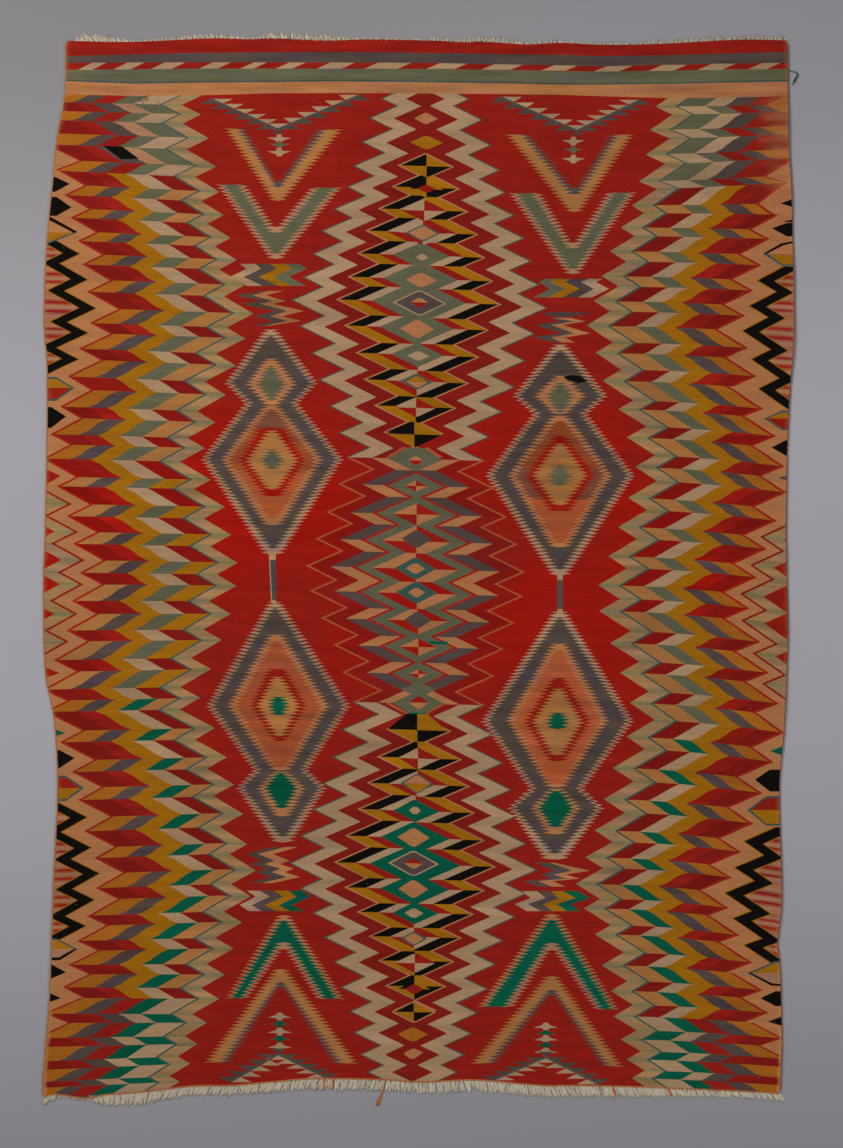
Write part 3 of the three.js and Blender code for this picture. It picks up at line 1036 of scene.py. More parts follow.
LOZENGES = (
    Lozenge(
        (-298, 578), (-293, 1030), ((578, 6), (686, 88), (727, 49), (838, 137), (1030, 12)), (
            Ring(((636, 6), (688, 47), (732, 8)), Dye.PEACH),
            Ring(((650, 4), (688, 27), (724, 4)), Dye.GREY_GREEN),
            Ring(((730, 10), (838, 98), (972, 12)), Dye.PEACH),
            Ring(((738, 8), (838, 86), (958, 10)), Dye.SALMON),
            Ring(((738, 8), (838, 86), (860, 80), (864, 10)), Dye.RUST),
            Ring(((738, 6), (776, 34), (782, 8)), Dye.TAUPE),
            Ring(((774, 22), (842, 64), (914, 14)), Dye.BRIGHT_RED),
            Ring(((780, 6), (842, 50), (900, 8)), Dye.TAN),
            Ring(((818, 4), (842, 21), (860, 6)), Dye.GREY_GREEN),
        ),
    ),
    Lozenge(
        (281, 608), (280, 1072), ((608, 6), (712, 90), (748, 50), (871, 144), (1072, 10)), (
            Ring(((670, 6), (712, 48), (750, 8)), Dye.PEACH),
            Ring(((684, 4), (714, 25), (748, 4)), Dye.GREY_GREEN),
            Ring(((750, 12), (871, 100), (1016, 12)), Dye.PEACH),
            Ring(((760, 8), (871, 90), (1008, 10)), Dye.SALMON),
            Ring(((760, 8), (871, 90), (918, 58), (920, 8)), Dye.TAUPE),
            Ring(((760, 8), (856, 80), (862, 8)), Dye.RUST),
            Ring(((790, 8), (870, 68), (944, 18)), Dye.BRIGHT_RED),
            Ring(((806, 6), (870, 52), (932, 8)), Dye.TAN),
            Ring(((848, 4), (872, 24), (894, 6)), Dye.GREY_GREEN),
        ),
    ),
    Lozenge(
        (-290, 1122), (-273, 1606), ((1122, 6), (1332, 139), (1460, 50), (1495, 85), (1606, 12)), (
            Ring(((1188, 10), (1332, 98), (1462, 12)), Dye.PEACH),
            Ring(((1202, 8), (1332, 86), (1456, 12)), Dye.SALMON),
            Ring(((1256, 14), (1330, 54), (1404, 8)), Dye.BRIGHT_RED),
            Ring(((1272, 6), (1332, 40), (1394, 6)), Dye.TAN),
            Ring(((1312, 10), (1332, 18), (1352, 8)), Dye.EMERALD),
            Ring(((1462, 10), (1496, 44), (1554, 10)), Dye.PEACH),
            Ring(((1464, 8), (1496, 32), (1538, 8)), Dye.EMERALD),
        ),
    ),
    Lozenge(
        (280, 1142), (270, 1640), ((1142, 8), (1362, 147), (1498, 50), (1535, 91), (1640, 16)), (
            Ring(((1206, 10), (1360, 98), (1496, 12)), Dye.PEACH),
            Ring(((1220, 8), (1362, 88), (1490, 12)), Dye.SALMON),
            Ring(((1274, 10), (1364, 64), (1444, 12)), Dye.BRIGHT_RED),
            Ring(((1296, 6), (1364, 48), (1432, 8)), Dye.TAN),
            Ring(((1344, 10), (1364, 20), (1380, 10)), Dye.EMERALD),
            Ring(((1496, 10), (1536, 46), (1590, 12)), Dye.PEACH),
            Ring(((1500, 10), (1536, 35), (1576, 8)), Dye.EMERALD),
        ),
    ),
)


@dataclass(frozen=True)
class Stair:
    """A shallow V or its mirror: a thin line with a stair of small triangles on both sides.

    Attributes:
        left: Left end, as (x, down).
        tip: Its point.
        right: Right end.
        steps: Triangles along each arm.
        inside: Dye of the triangles between the arms.
        outside: Dye of those outside.
        run: Length of the inner triangles' level side.
    """

    left: Point
    tip: Point
    right: Point
    steps: int = 6
    inside: Dye = Dye.CREAM
    outside: Dye = Dye.SLATE
    run: float = 44.0

    def chart(self, cartoon: Cartoon) -> None:
        """Lays the triangles of both arms, then the line.

        Args:
            cartoon: Where the patches go.
        """
        for end in (self.left, self.right):
            inward = 1.0 if end is self.left else -1.0
            hangs = end[1] < self.tip[1]
            upper, lower = (end, self.tip) if hangs else (self.tip, end)
            for step in range(self.steps):
                p, q = (
                    tuple(a + (b - a) * share for a, b in zip(upper, lower))
                    for share in (step / self.steps, (step + 1) / self.steps)
                )
                level, far = (p, q) if hangs else (q, p)
                corner = (far[0] - inward * self.run, far[1])
                cartoon.lay([p, corner, q], self.outside, on_loom=False)
                cartoon.lay([p, (level[0] + inward * self.run, level[1]), q], self.inside, on_loom=False)
        x, down = self.tip
        beyond = 8.0 if self.left[1] < down else -11.0
        point = [(x - 15, down + beyond), (x + 16, down + beyond), (x, down)]
        cartoon.lay(point, self.outside, on_loom=False)
        thick = 2.4
        path = [self.left, self.tip, self.right]
        band = [(x, d - thick) for x, d in path] + [(x, d + thick) for x, d in path[::-1]]
        cartoon.lay(band, Dye.BLUE_SLATE, on_loom=False)


@dataclass(frozen=True)
class Birds:
    """A stack of little winged triangles.

    Attributes:
        x: Middle line.
        levels: Level of each one's wings.
        way: 1 if they point down, -1 if up.
        green: Dye of every second one.
    """

    x: float
    levels: tuple[float, ...]
    way: int
    green: Dye

    def chart(self, cartoon: Cartoon) -> None:
        """Lays the birds, cream and green in turn.

        Args:
            cartoon: Where the patches go.
        """
        outline = (
            (-24, -1), (-6, -2), (-4, -8), (4, -8), (6, -2), (24, -1), (8, 4), (4, 9), (-4, 9), (-8, 4),
        )
        for index, level in enumerate(self.levels):
            size = 0.85 if index % 2 else 1.0
            points = [(self.x + x * size, level + self.way * d * size) for x, d in outline]
            cartoon.lay(points, self.green if index % 2 else Dye.CREAM, on_loom=False)


@dataclass(frozen=True)
class Strip:
    """Zigzag bands side by side.

    Attributes:
        levels: For each bend, its level and the joints' x, from the left.
        dyes: Dyes of the bands.
    """

    levels: tuple[tuple[float, ...], ...]
    dyes: tuple[Dye, ...]

    def chart(self, cartoon: Cartoon) -> None:
        """Lays the bands.

        Args:
            cartoon: Where the patches go.
        """
        for band, dye in enumerate(self.dyes, start=1):
            near = [(row[band], row[0]) for row in self.levels]
            far = [(row[band + 1], row[0]) for row in self.levels]
            cartoon.lay(near + far[::-1], dye, Weave.STREAKED, on_loom=False)


@dataclass(frozen=True)
class Area:
    """A plain area with the corners given.

    Attributes:
        points: Its corners, as (x, down) on the woven rug.
        dye: Its dye.
        weave: How its colour runs.
    """

    points: tuple[Point, ...]
    dye: Dye
    weave: Weave = Weave.EVEN

    def chart(self, cartoon: Cartoon) -> None:
        """Lays the area."""
        cartoon.lay(self.points, self.dye, self.weave, on_loom=False)


class Mark(Enum):
    """Kinds of small points along the selvedges, by the dyes of their upper and lower halves."""

    BLACK = (Dye.BLACK, Dye.BLACK)
    RED = (Dye.BRIGHT_RED, Dye.BRIGHT_RED)
    GREEN = (Dye.EMERALD, Dye.EMERALD)
    SLATE = (Dye.SLATE, Dye.SLATE)
    GOLD_RED = (Dye.GOLD, Dye.BRIGHT_RED)
    RED_GOLD = (Dye.BRIGHT_RED, Dye.GOLD)


@dataclass(frozen=True)
class Leaf:
    """A leaf-shaped point woven in from a selvedge.

    Attributes:
        x: Its tip.
        down: Level of the tip.
        top: Level of its upper end at the selvedge.
        foot: Level of its lower end.
        kind: Its dyes; two-coloured ones have a teal rim.
    """

    x: float
    down: float
    top: float
    foot: float
    kind: Mark

    def chart(self, cartoon: Cartoon) -> None:
        """Lays the rim, if any, and the two halves out past the selvedge.

        Args:
            cartoon: Where the patches go.
        """
        out = -1.0 if self.x < 0 else 1.0
        edge = out * 780.0
        shoulder = self.x + out * min(30.0, 1.5 * (self.foot - self.top))
        upper, lower = self.kind.value
        if upper is not lower:
            rim = 4.0
            cartoon.lay([(self.x - out * 7, self.down), (shoulder, self.top - rim), (edge, self.top - rim),
                         (edge, self.foot + rim), (shoulder, self.foot + rim)], Dye.TEAL, on_loom=False)
        cartoon.lay([(self.x, self.down), (shoulder, self.top), (edge, self.top), (edge, self.down)],
                    upper, on_loom=False)
        cartoon.lay([(self.x, self.down), (edge, self.down), (edge, self.foot), (shoulder, self.foot)],
                    lower, on_loom=False)


FLICKER = (Dye.SLATE, Dye.PEACH)
FOOT_STRIP = (Dye.CREAM, Dye.PURPLE_SLATE, Dye.GOLD, Dye.EMERALD)
FIELD_MOTIFS = (
    Stair((-418, 118), (-284, 179), (-118, 110)), Stair((160, 114), (314, 182), (442, 120)),
    Birds(-281, (197, 209, 224), 1, Dye.GREY_GREEN), Birds(307, (202, 219, 238), 1, Dye.GREY_GREEN),
    *VEES, Strip(
        (
            (448, -360, -328, -300, -268, -240), (458, -346, -317, -286, -256, -226),
            (474, -380, -352, -322, -292, -261), (492, -344, -314, -284, -256, -228),
        ),
        (Dye.CREAM, Dye.SLATE, Dye.GOLD, Dye.GREY_GREEN),
    ),
    Strip(
        (
            (478, 250, 272, 304, 338, 366), (484, 238, 260, 290, 322, 352),
            (498, 260, 290, 320, 348, 378), (515, 228, 256, 284, 316, 344),
        ),
        (Dye.GREY_GREEN, Dye.GOLD, Dye.SLATE, Dye.CREAM),
    ),
    Strip(
        (
            (502, -316, -304, -272), (511, -368, -334, -308), (522, -316, -294, -268),
            (528, -356, -320, -294), (542, -288, -264, -232), (553, -332, -300, -276),
            (562, -292, -264, -238), (572, -334, -310, -304),
        ),
        FLICKER,
    ),
    Area(((246, 546), (272, 544), (344, 546), (310, 552), (292, 555), (264, 554)), Dye.PURPLE_SLATE),
    Strip(
        (
            (556, 264, 266, 302), (563, 280, 308, 332), (570, 230, 262, 286), (587, 284, 310, 340),
            (595, 224, 262, 290), (605, 272, 284, 310),
        ),
        FLICKER,
    ),
    *LOZENGES, Area(
        ((288, 673), (304, 670), (322, 672), (328, 678), (334, 683), (316, 687), (304, 682), (292, 679)),
        Dye.BLACK,
    ),
    Area(((-302, 1024), (-288, 1024), (-288, 1126), (-297, 1126)), Dye.CREAM),
    Area(((-299, 1040), (-288, 1040), (-287, 1120), (-295, 1120)), Dye.BLUE_SLATE),
    Area(((275, 1066), (286, 1066), (286, 1146), (275, 1146)), Dye.CREAM),
    Area(((275, 1080), (286, 1080), (286, 1138), (275, 1138)), Dye.BLUE_SLATE), Strip(
        (
            (1614, -296, -270, -244), (1628, -346, -324, -294), (1641, -316, -290, -260),
            (1648, -340, -310, -280), (1657, -306, -278, -252), (1664, -326, -296, -270),
            (1674, -296, -266, -240), (1686, -342, -316, -296),
        ),
        FLICKER,
    ),
    Strip(
        (
            (1645, 228, 260, 268), (1661, 270, 304, 340), (1669, 242, 266, 292), (1677, 266, 294, 320),
            (1682, 206, 236, 266), (1693, 238, 264, 292),
        ),
        FLICKER,
    ),
    Strip(
        (
            (1701, -346, -320, -292, -264, -234), (1713, -328, -300, -273, -246, -218),
            (1730, -360, -336, -310, -282, -256), (1742, -342, -316, -286, -260, -230),
        ),
        FOOT_STRIP,
    ),
    Strip(
        (
            (1702, 204, 234, 262, 286, 316), (1716, 222, 252, 278, 312, 340),
            (1728, 190, 216, 247, 274, 302), (1742, 214, 242, 266, 294, 320),
        ),
        FOOT_STRIP,
    ),
    Birds(-280, (1954, 1968, 1984, 1998, 2014), -1, Dye.EMERALD),
    Birds(252, (1974, 1987, 1999, 2011, 2024), -1, Dye.EMERALD),
    Stair((-380, 2084), (-283, 2028), (-184, 2076), steps=5),
    Stair((146, 2080), (252, 2034), (358, 2088), steps=5),
    Area(((-70, 835), (-34, 814), (-26, 816), (-62, 837)), Dye.SALMON),
    Area(((10, 816), (16, 814), (46, 834), (38, 836)), Dye.SALMON),
    Area(((-68, 1327), (-60, 1326), (-22, 1346), (-28, 1348)), Dye.SALMON),
    Area(((46, 1326), (54, 1327), (16, 1348), (12, 1346)), Dye.SALMON),
    Area(((-24, 1345), (14, 1345), (14, 1348), (-24, 1348)), Dye.EMERALD),
)
EDGE_MARKS = (
    Leaf(-699, 288, 274, 304, Mark.BLACK), Leaf(-696, 335, 314, 352, Mark.BLACK),
    Leaf(-697, 696, 678, 718, Mark.GOLD_RED), Leaf(-707, 753, 734, 776, Mark.BLACK),
    Leaf(-718, 872, 858, 890, Mark.RED), Leaf(-720, 1266, 1254, 1276, Mark.RED),
    Leaf(-708, 1386, 1376, 1396, Mark.GREEN), Leaf(-690, 1436, 1420, 1456, Mark.BLACK),
    Leaf(-678, 1496, 1475, 1518, Mark.RED_GOLD), Leaf(-707, 1864, 1848, 1877, Mark.BLACK),
    Leaf(-717, 1916, 1902, 1926, Mark.BLACK),
    Leaf(721, 327, 317, 336, Mark.BLACK), Leaf(704, 377, 366, 393, Mark.BLACK),
    Leaf(695, 757, 745, 777, Mark.GOLD_RED), Leaf(703, 815, 800, 832, Mark.BLACK),
    Leaf(717, 876, 869, 883, Mark.SLATE), Leaf(700, 1422, 1410, 1433, Mark.GREEN),
    Leaf(670, 1479, 1459, 1503, Mark.BLACK), Leaf(662, 1540, 1516, 1567, Mark.RED_GOLD),
    Leaf(681, 1916, 1902, 1932, Mark.BLACK), Leaf(696, 1963, 1953, 1971, Mark.BLACK),
)
EDGE_AREAS = (
    Area(((-780, 349), (-740, 353), (-684, 385), (-744, 408), (-780, 408)), Dye.TEAL),
    Area(((-780, 352), (-740, 357), (-688, 385), (-780, 386)), Dye.PEACH),
    Area(((-780, 385), (-690, 385), (-744, 404), (-780, 404)), Dye.GOLD),
    Area(((-780, 350), (-740, 353), (-684, 384), (-692, 386), (-742, 360), (-780, 357)), Dye.BLACK),
    Area(((-780, 1796), (-725, 1797), (-684, 1818), (-719, 1840), (-780, 1841)), Dye.TEAL),
    Area(((-780, 1799), (-726, 1800), (-690, 1818), (-780, 1818)), Dye.GOLD),
    Area(((-780, 1818), (-690, 1818), (-720, 1835), (-780, 1836)), Dye.PINK_CREAM),
    Area(((-692, 1818), (-684, 1818), (-719, 1840), (-760, 1841), (-760, 1836), (-721, 1834)), Dye.BLACK),
    Area(((780, 403), (743, 403), (724, 407), (686, 428), (724, 452), (780, 452)), Dye.TEAL),
    Area(((780, 407), (743, 407), (727, 411), (694, 428), (780, 430)), Dye.PEACH),
    Area(((780, 430), (696, 429), (726, 449), (780, 449)), Dye.GOLD), Area(
        ((780, 402), (743, 403), (722, 407), (686, 428), (694, 428), (727, 411), (744, 407), (780, 406)),
        Dye.BLACK,
    ),
    Area(((780, 360), (744, 360), (724, 363), (744, 365), (780, 364)), Dye.BLACK),
    Area(((780, 1841), (710, 1842), (655, 1866), (703, 1891), (780, 1893)), Dye.TEAL),
    Area(((780, 1845), (710, 1846), (664, 1866), (780, 1868)), Dye.GOLD),
    Area(((780, 1866), (664, 1866), (704, 1887), (780, 1889)), Dye.PINK_CREAM),
    Area(((655, 1864), (666, 1867), (704, 1886), (728, 1888), (728, 1892), (702, 1891)), Dye.BLACK),
    Area(((-634, 212), (-595, 213), (-561, 238), (-597, 239)), Dye.BLACK),
    Area(((16, 1202), (56, 1203), (58, 1209), (20, 1208)), Dye.EMERALD), Area(
        ((726, 114), (780, 114), (780, 144), (722, 144), (696, 128), (712, 121)), Dye.ORANGE_GOLD,
        Weave.STREAKED,
    ),
)


@dataclass(frozen=True)
class StripeRow:
    """Where the head end's stripes part, at one place across.

    Attributes:
        x: The place.
        red: End of the red stripe.
        slate: End of the slate one.
        pole: End of the red and cream twist.
        green: End of the grey-green one.
        peach: End of the peach one.
    """

    x: float
    red: float
    slate: float
    pole: float
    green: float
    peach: float


@dataclass(frozen=True)
class HeadStripes:
    """The stripes across the head end, which follow its uneven line.

    Attributes:
        rows: Where they part.
        twists: Cream pieces in the red and cream stripe, as (left lower corner, length).
        lean: How far a piece's top lies to the right of its foot.
        shadow: Width of the teal line under the green stripe.
    """

    rows: Sequence[StripeRow] = (
        StripeRow(-790, 33, 46, 60, 79, 108), StripeRow(-708, 32.6, 46, 60, 80, 109),
        StripeRow(-574, 29.4, 45.5, 59, 85, 112), StripeRow(-440, 26, 45, 57.6, 83, 111),
        StripeRow(-300, 25, 45, 57.6, 82, 107), StripeRow(-170, 24.6, 45.5, 58, 80, 106.5),
        StripeRow(0, 26, 46, 58, 82, 107), StripeRow(160, 28.6, 49, 60, 84, 108.5),
        StripeRow(280, 30, 51, 62.6, 86.8, 110), StripeRow(370, 32.4, 53, 63.4, 87, 113),
        StripeRow(500, 30.6, 50, 61.5, 85.5, 116.6), StripeRow(600, 27.6, 47.5, 59.5, 83.5, 116),
        StripeRow(730, 24.6, 46, 58, 80.6, 113), StripeRow(790, 24.6, 46, 58, 80, 112),
    )
    twists: tuple[Point, ...] = (
        (-683, 58), (-612, 63), (-538, 71), (-441, 66), (-359, 56), (-288, 63), (-206, 79), (-111, 97),
        (13, 87), (123, 89), (242, 79), (348, 79), (456, 79), (555, 77), (656, 66),
    )
    lean: float = 30.0
    shadow: float = 2.6

    def chart(self, cartoon: Cartoon) -> None:
        """Lays the stripes from the widest to the narrowest, each from above the head end.

        Args:
            cartoon: Where the patches go.
        """
        self.stripe(cartoon, [row.peach for row in self.rows], Dye.PEACH)
        self.stripe(cartoon, [row.green + self.shadow for row in self.rows], Dye.TEAL)
        self.stripe(cartoon, [row.green for row in self.rows], Dye.GREY_GREEN)
        self.stripe(cartoon, [row.pole for row in self.rows], Dye.BRIGHT_RED)
        self.twist(cartoon)
        self.stripe(cartoon, [row.slate for row in self.rows], Dye.SLATE)
        self.stripe(cartoon, [row.red for row in self.rows], Dye.FIELD_RED)

    def stripe(self, cartoon: Cartoon, ends: Sequence[float], dye: Dye) -> None:
        """Lays one stripe down to its ends.

        Args:
            cartoon: Where the patches go.
            ends: Where it ends, for each row.
            dye: Its dye.
        """
        low = [(row.x, end) for row, end in zip(self.rows, ends)]
        above = -40.0
        cartoon.lay([(low[0][0], above)] + low + [(low[-1][0], above)], dye, Weave.STREAKED, on_loom=False)

    def twist(self, cartoon: Cartoon) -> None:
        """Lays the cream pieces of the twisted stripe down to its ends.

        Args:
            cartoon: Where the patches go.
        """
        xs = [row.x for row in self.rows]
        for x, length in self.twists:
            long = length - self.lean
            low = float(np.interp(x, xs, [row.pole for row in self.rows]))
            high = float(np.interp(x, xs, [row.slate for row in self.rows])) - 1.0
            cartoon.lay([(x, low), (x + long, low), (x + length, high), (x + self.lean, high)],
                        Dye.CREAM, on_loom=False)


def chart_rug() -> Cartoon:
    """Charts the whole rug.

    Returns:
        The cartoon, from the red ground up to the head stripes.
    """
    cartoon = Cartoon()
    cartoon.lay([(-800, -40), (800, -40), (800, 2200), (-800, 2200)], Dye.FIELD_RED)
    for part in (LEFT_PANEL, RIGHT_PANEL, HEAD_GROUP, FOOT_GROUP, MIDDLE_GROUP_UPPER, MIDDLE_GROUP_LOWER):
        part.chart(cartoon)
    for part in FIELD_MOTIFS + EDGE_MARKS + EDGE_AREAS:
        part.chart(cartoon)
    HeadStripes().chart(cartoon)
    return cartoon


@dataclass(frozen=True)
class Outline:
    """The cloth's edge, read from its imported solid.

    Attributes:
        loop: Corners in millimetres, counterclockwise from above.
    """

    loop: np.ndarray

    @classmethod
    def packed(cls, node: str) -> "Outline":
        """Reads the edge of a packed flat solid's upper face.

        Args:
            node: Its name.

        Returns:
            The outline: the upper face's edges that only one of its triangles has, joined up.
        """
        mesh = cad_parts[node].data
        places = np.zeros(len(mesh.vertices) * 3, np.float32)
        mesh.vertices.foreach_get("co", places)
        grains_per_mm = 100.0
        grains = np.round(places.reshape(-1, 3)[:, :2] * (grains_per_mm / MM)).astype(int)
        flat, inverse = np.unique(grains, axis=0, return_inverse=True)
        return cls(flat[cls.walk(mesh, inverse.reshape(-1))] / grains_per_mm)

    @staticmethod
    def walk(mesh: bpy.types.Mesh, inverse: np.ndarray) -> list[int]:
        """Joins the upper face's border edges.

        Args:
            mesh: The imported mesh.
            inverse: Number of the place of each of its vertices.

        Returns:
            Numbers of the places round the border, in order.
        """
        edges: dict[tuple[int, int], int] = {}
        for face in mesh.polygons:
            if face.normal.z > 0.9:
                ring = [int(inverse[v]) for v in face.vertices]
                for pair in zip(ring, ring[1:] + ring[:1]):
                    edges[pair] = 1
        follow = {a: b for a, b in edges if (b, a) not in edges}
        start = next(iter(follow))
        ring, here = [start], follow[start]
        while here != start:
            ring.append(here)
            here = follow[here]
        return ring

    def rim(self, axis: int, way: int, inner: float) -> np.ndarray:
        """Corners of one side or end, without those of its neighbours.

        Args:
            axis: The axis across it.
            way: 1 or -1 along that axis.
            inner: Distance from the middle beyond which it lies.

        Returns:
            Its corners, sorted along it: those with none more than 5 mm further out within 8 mm.
        """
        across, along = self.loop[:, axis] * way, self.loop[:, 1 - axis]
        near = np.abs(along[:, None] - along[None, :]) < 8.0
        outer = np.where(near, across[None, :], -1e6).max(axis=1)
        chosen = self.loop[(across > inner) & (across > outer - 5.0)]
        return chosen[np.argsort(chosen[:, 1 - axis])]

    def side_x(self, side: Side, y: np.ndarray) -> np.ndarray:
        """Edge of one long side at the given distances along the rug."""
        chosen = self.rim(0, side.value, 600.0)
        return np.interp(y, chosen[:, 1], chosen[:, 0])

    def end_y(self, way: int, x: np.ndarray) -> np.ndarray:
        """Edge of the head end (1) or foot end (-1) at the given places across."""
        chosen = self.rim(1, way, 1010.0)
        return np.interp(x, chosen[:, 0], chosen[:, 1])


@dataclass(frozen=True)
class Cockle:
    """How the laid cloth lifts a little from the floor.

    Attributes:
        swell: Height of the slow waves over the middle, in millimetres.
        edge: Height of the lift along the right side.
        band: Width of that lift.
    """

    swell: float = 0.9
    edge: float = 3.4
    band: float = 60.0

    def lift(self, x: np.ndarray, y: np.ndarray) -> np.ndarray:
        """Height of the cloth's underside.

        Args:
            x: Places across, in millimetres.
            y: Places along.

        Returns:
            Products of slow sines, never below the floor, and more of them near the right side.
        """
        slow = 0.5 + 0.25 * np.sin(x / 131.0 + 1.3) * np.sin(y / 173.0) + 0.25 * np.sin((x + y) / 241.0 + 0.7)
        near = np.clip((x - 745.0 + self.band) / self.band, 0.0, 1.0) ** 2
        wave = 0.5 + 0.3 * np.sin(y / 61.0) + 0.2 * np.sin(y / 23.0 + 1.0)
        return self.swell * slow + self.edge * near * wave


COCKLE = Cockle()


def make_object(name: str, points: np.ndarray, faces: list, material: bpy.types.Material) -> bpy.types.Object:
    """Makes a mesh object at the origin.

    Args:
        name: Its name.
        points: Vertices in millimetres.
        faces: Vertex numbers of each face.
        material: Its material.

    Returns:
        The linked object, measured in metres.
    """
    mesh = bpy.data.meshes.new(name)
    mesh.from_pydata((points * MM).tolist(), [], faces)
    mesh.materials.append(material)
    mesh.update()
    thing = bpy.data.objects.new(name, mesh)
    bpy.context.scene.collection.objects.link(thing)
    return thing


def declare(thing: bpy.types.Object, node: str) -> None:
    """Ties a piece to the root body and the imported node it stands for.

    Args:
        thing: The piece.
        node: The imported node.
    """
    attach(thing, "root")
    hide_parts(node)


@dataclass
class Cloth:
    """The cloth: a closed thin sheet cut along every joint between two colours.

    Attributes:
        outline: Its edge.
        cartoon: Its design.
        thickness: In millimetres.
        lattice: Spacing of the points between the joints, so that it can follow its cockles.
        across: First and last place of those points across.
        along: First and last place of them along.
    """

    outline: Outline
    cartoon: Cartoon
    thickness: float = 2.4
    lattice: float = 16.0
    across: Point = (-744.0, 744.0)
    along: Point = (-1024.0, 1050.0)

    def build(self, material: bpy.types.Material) -> bpy.types.Object:
        """Builds the cloth.

        Args:
            material: Its finish.

        Returns:
            The object. The upper face is the plane inside the outline, split along all patch edges; each
            triangle has the dye of the last patch laid over it. The underside mirrors it, thickness below,
            and a rim closes the two. Both follow the height lift(x, y).
        """
        flat, tris, owner = self.cut()
        x, y = flat[:, 0], flat[:, 1]
        low = COCKLE.lift(x, y)
        count = len(flat)
        points = np.concatenate([np.stack([x, y, low + self.thickness], 1), np.stack([x, y, low], 1)])
        directed = np.concatenate([tris[:, [0, 1]], tris[:, [1, 2]], tris[:, [2, 0]]])
        holder = np.tile(np.arange(len(tris)), 3)
        keys = directed[:, 0].astype(np.int64) * count + directed[:, 1]
        twins = directed[:, 1].astype(np.int64) * count + directed[:, 0]
        border = ~np.isin(keys, twins)
        a, b = directed[border].T
        rim = np.concatenate([np.stack([a, a + count, b + count], 1), np.stack([a, b + count, b], 1)])
        faces = np.concatenate([tris, tris[:, ::-1] + count, rim])
        thing = make_object("woven_cloth", points, faces.tolist(), material)
        self.colour(thing.data, np.concatenate([owner, owner, np.tile(owner[holder[border]], 2)]), flat)
        return thing

    def cut(self) -> tuple[np.ndarray, np.ndarray, np.ndarray]:
        """Splits the cloth's plane along the edges of all patches.

        Returns:
            Points in millimetres, triangles inside the outline, and the number of each one's patch.
        """
        rings = [self.outline.loop] + [
            np.stack([patch.points[:, 0], HEAD_Y - patch.points[:, 1]], axis=1)
            for patch in self.cartoon.patches
        ]
        starts = np.cumsum([0] + [len(ring) for ring in rings])
        edges = np.concatenate([
            np.stack([np.arange(len(ring)), np.roll(np.arange(len(ring)), -1)], axis=1) + start
            for ring, start in zip(rings, starts)
        ])
        lines = (np.arange(first, last, self.lattice) for first, last in (self.across, self.along))
        grid = np.stack(np.meshgrid(*lines), axis=-1).reshape(-1, 2)
        places = [Vector(p) for p in np.concatenate(rings + [grid]).tolist()]
        made = delaunay_2d_cdt(places, edges.tolist(), [], 0, 0.02, False)
        flat = np.array([tuple(v) for v in made[0]])
        tris = np.array([face for face in made[2] if len(face) == 3])
        middles = flat[tris].mean(axis=1)
        owner = np.full(len(tris), -1)
        for number, ring in enumerate(rings[1:]):
            near = np.flatnonzero(np.all((middles > ring.min(axis=0)) & (middles < ring.max(axis=0)), axis=1))
            owner[near[self.within(middles[near], ring)]] = number
        keep = self.within(middles, rings[0])
        tris, owner = tris[keep], owner[keep]
        used, inverse = np.unique(tris, return_inverse=True)
        return flat[used], inverse.reshape(-1, 3), owner

    @staticmethod
    def within(places: np.ndarray, ring: np.ndarray) -> np.ndarray:
        """Tells which places lie inside a ring.

        Args:
            places: Points, n by 2.
            ring: Corners of the ring, m by 2.

        Returns:
            n truth values: whether a ray from the place crosses the ring an odd number of times.
        """
        odd = np.zeros(len(places), bool)
        ends = np.roll(ring, -1, axis=0)
        for (ax, ay), (bx, by) in zip(ring, ends):
            if ay != by:
                spans = (places[:, 1] > ay) != (places[:, 1] > by)
                odd ^= spans & (places[:, 0] < ax + (places[:, 1] - ay) * (bx - ax) / (by - ay))
        return odd

    def colour(self, mesh: bpy.types.Mesh, owner: np.ndarray, flat: np.ndarray) -> None:
        """Writes the dyes, the loom levels, the distances from the sides and the surface map.

        Args:
            mesh: The built mesh.
            owner: Patch number of each face.
            flat: Points of one face of the cloth, in millimetres.
        """
        dyes = np.array([[*patch.colour, patch.weave.value] for patch in self.cartoon.patches])
        layer = mesh.color_attributes.new("dye", "FLOAT_COLOR", "CORNER")
        layer.data.foreach_set("color", np.repeat(dyes[owner], 3, axis=0).astype(np.float32).ravel())
        down = HEAD_Y - flat[:, 1]
        level = (down - self.cartoon.sag.fall(flat[:, 0], down)) * MM
        loom = mesh.attributes.new("loom_level", "FLOAT", "POINT")
        loom.data.foreach_set("value", np.tile(level, 2).astype(np.float32))
        left, right = (self.outline.side_x(side, flat[:, 1]) for side in (Side.LEFT, Side.RIGHT))
        inward = np.minimum(flat[:, 0] - left, right - flat[:, 0]) * MM
        edge = mesh.attributes.new("selvedge", "FLOAT", "POINT")
        edge.data.foreach_set("value", np.tile(inward, 2).astype(np.float32))
        corners = np.zeros(len(mesh.loops), np.int32)
        mesh.loops.foreach_get("vertex_index", corners)
        places = np.tile(flat, (2, 1))[corners]
        lowest, highest = flat.min(axis=0), flat.max(axis=0)
        surface = mesh.uv_layers.new(name="OFBake")
        surface.data.foreach_set("uv", ((places - lowest) / (highest - lowest)).astype(np.float32).ravel())


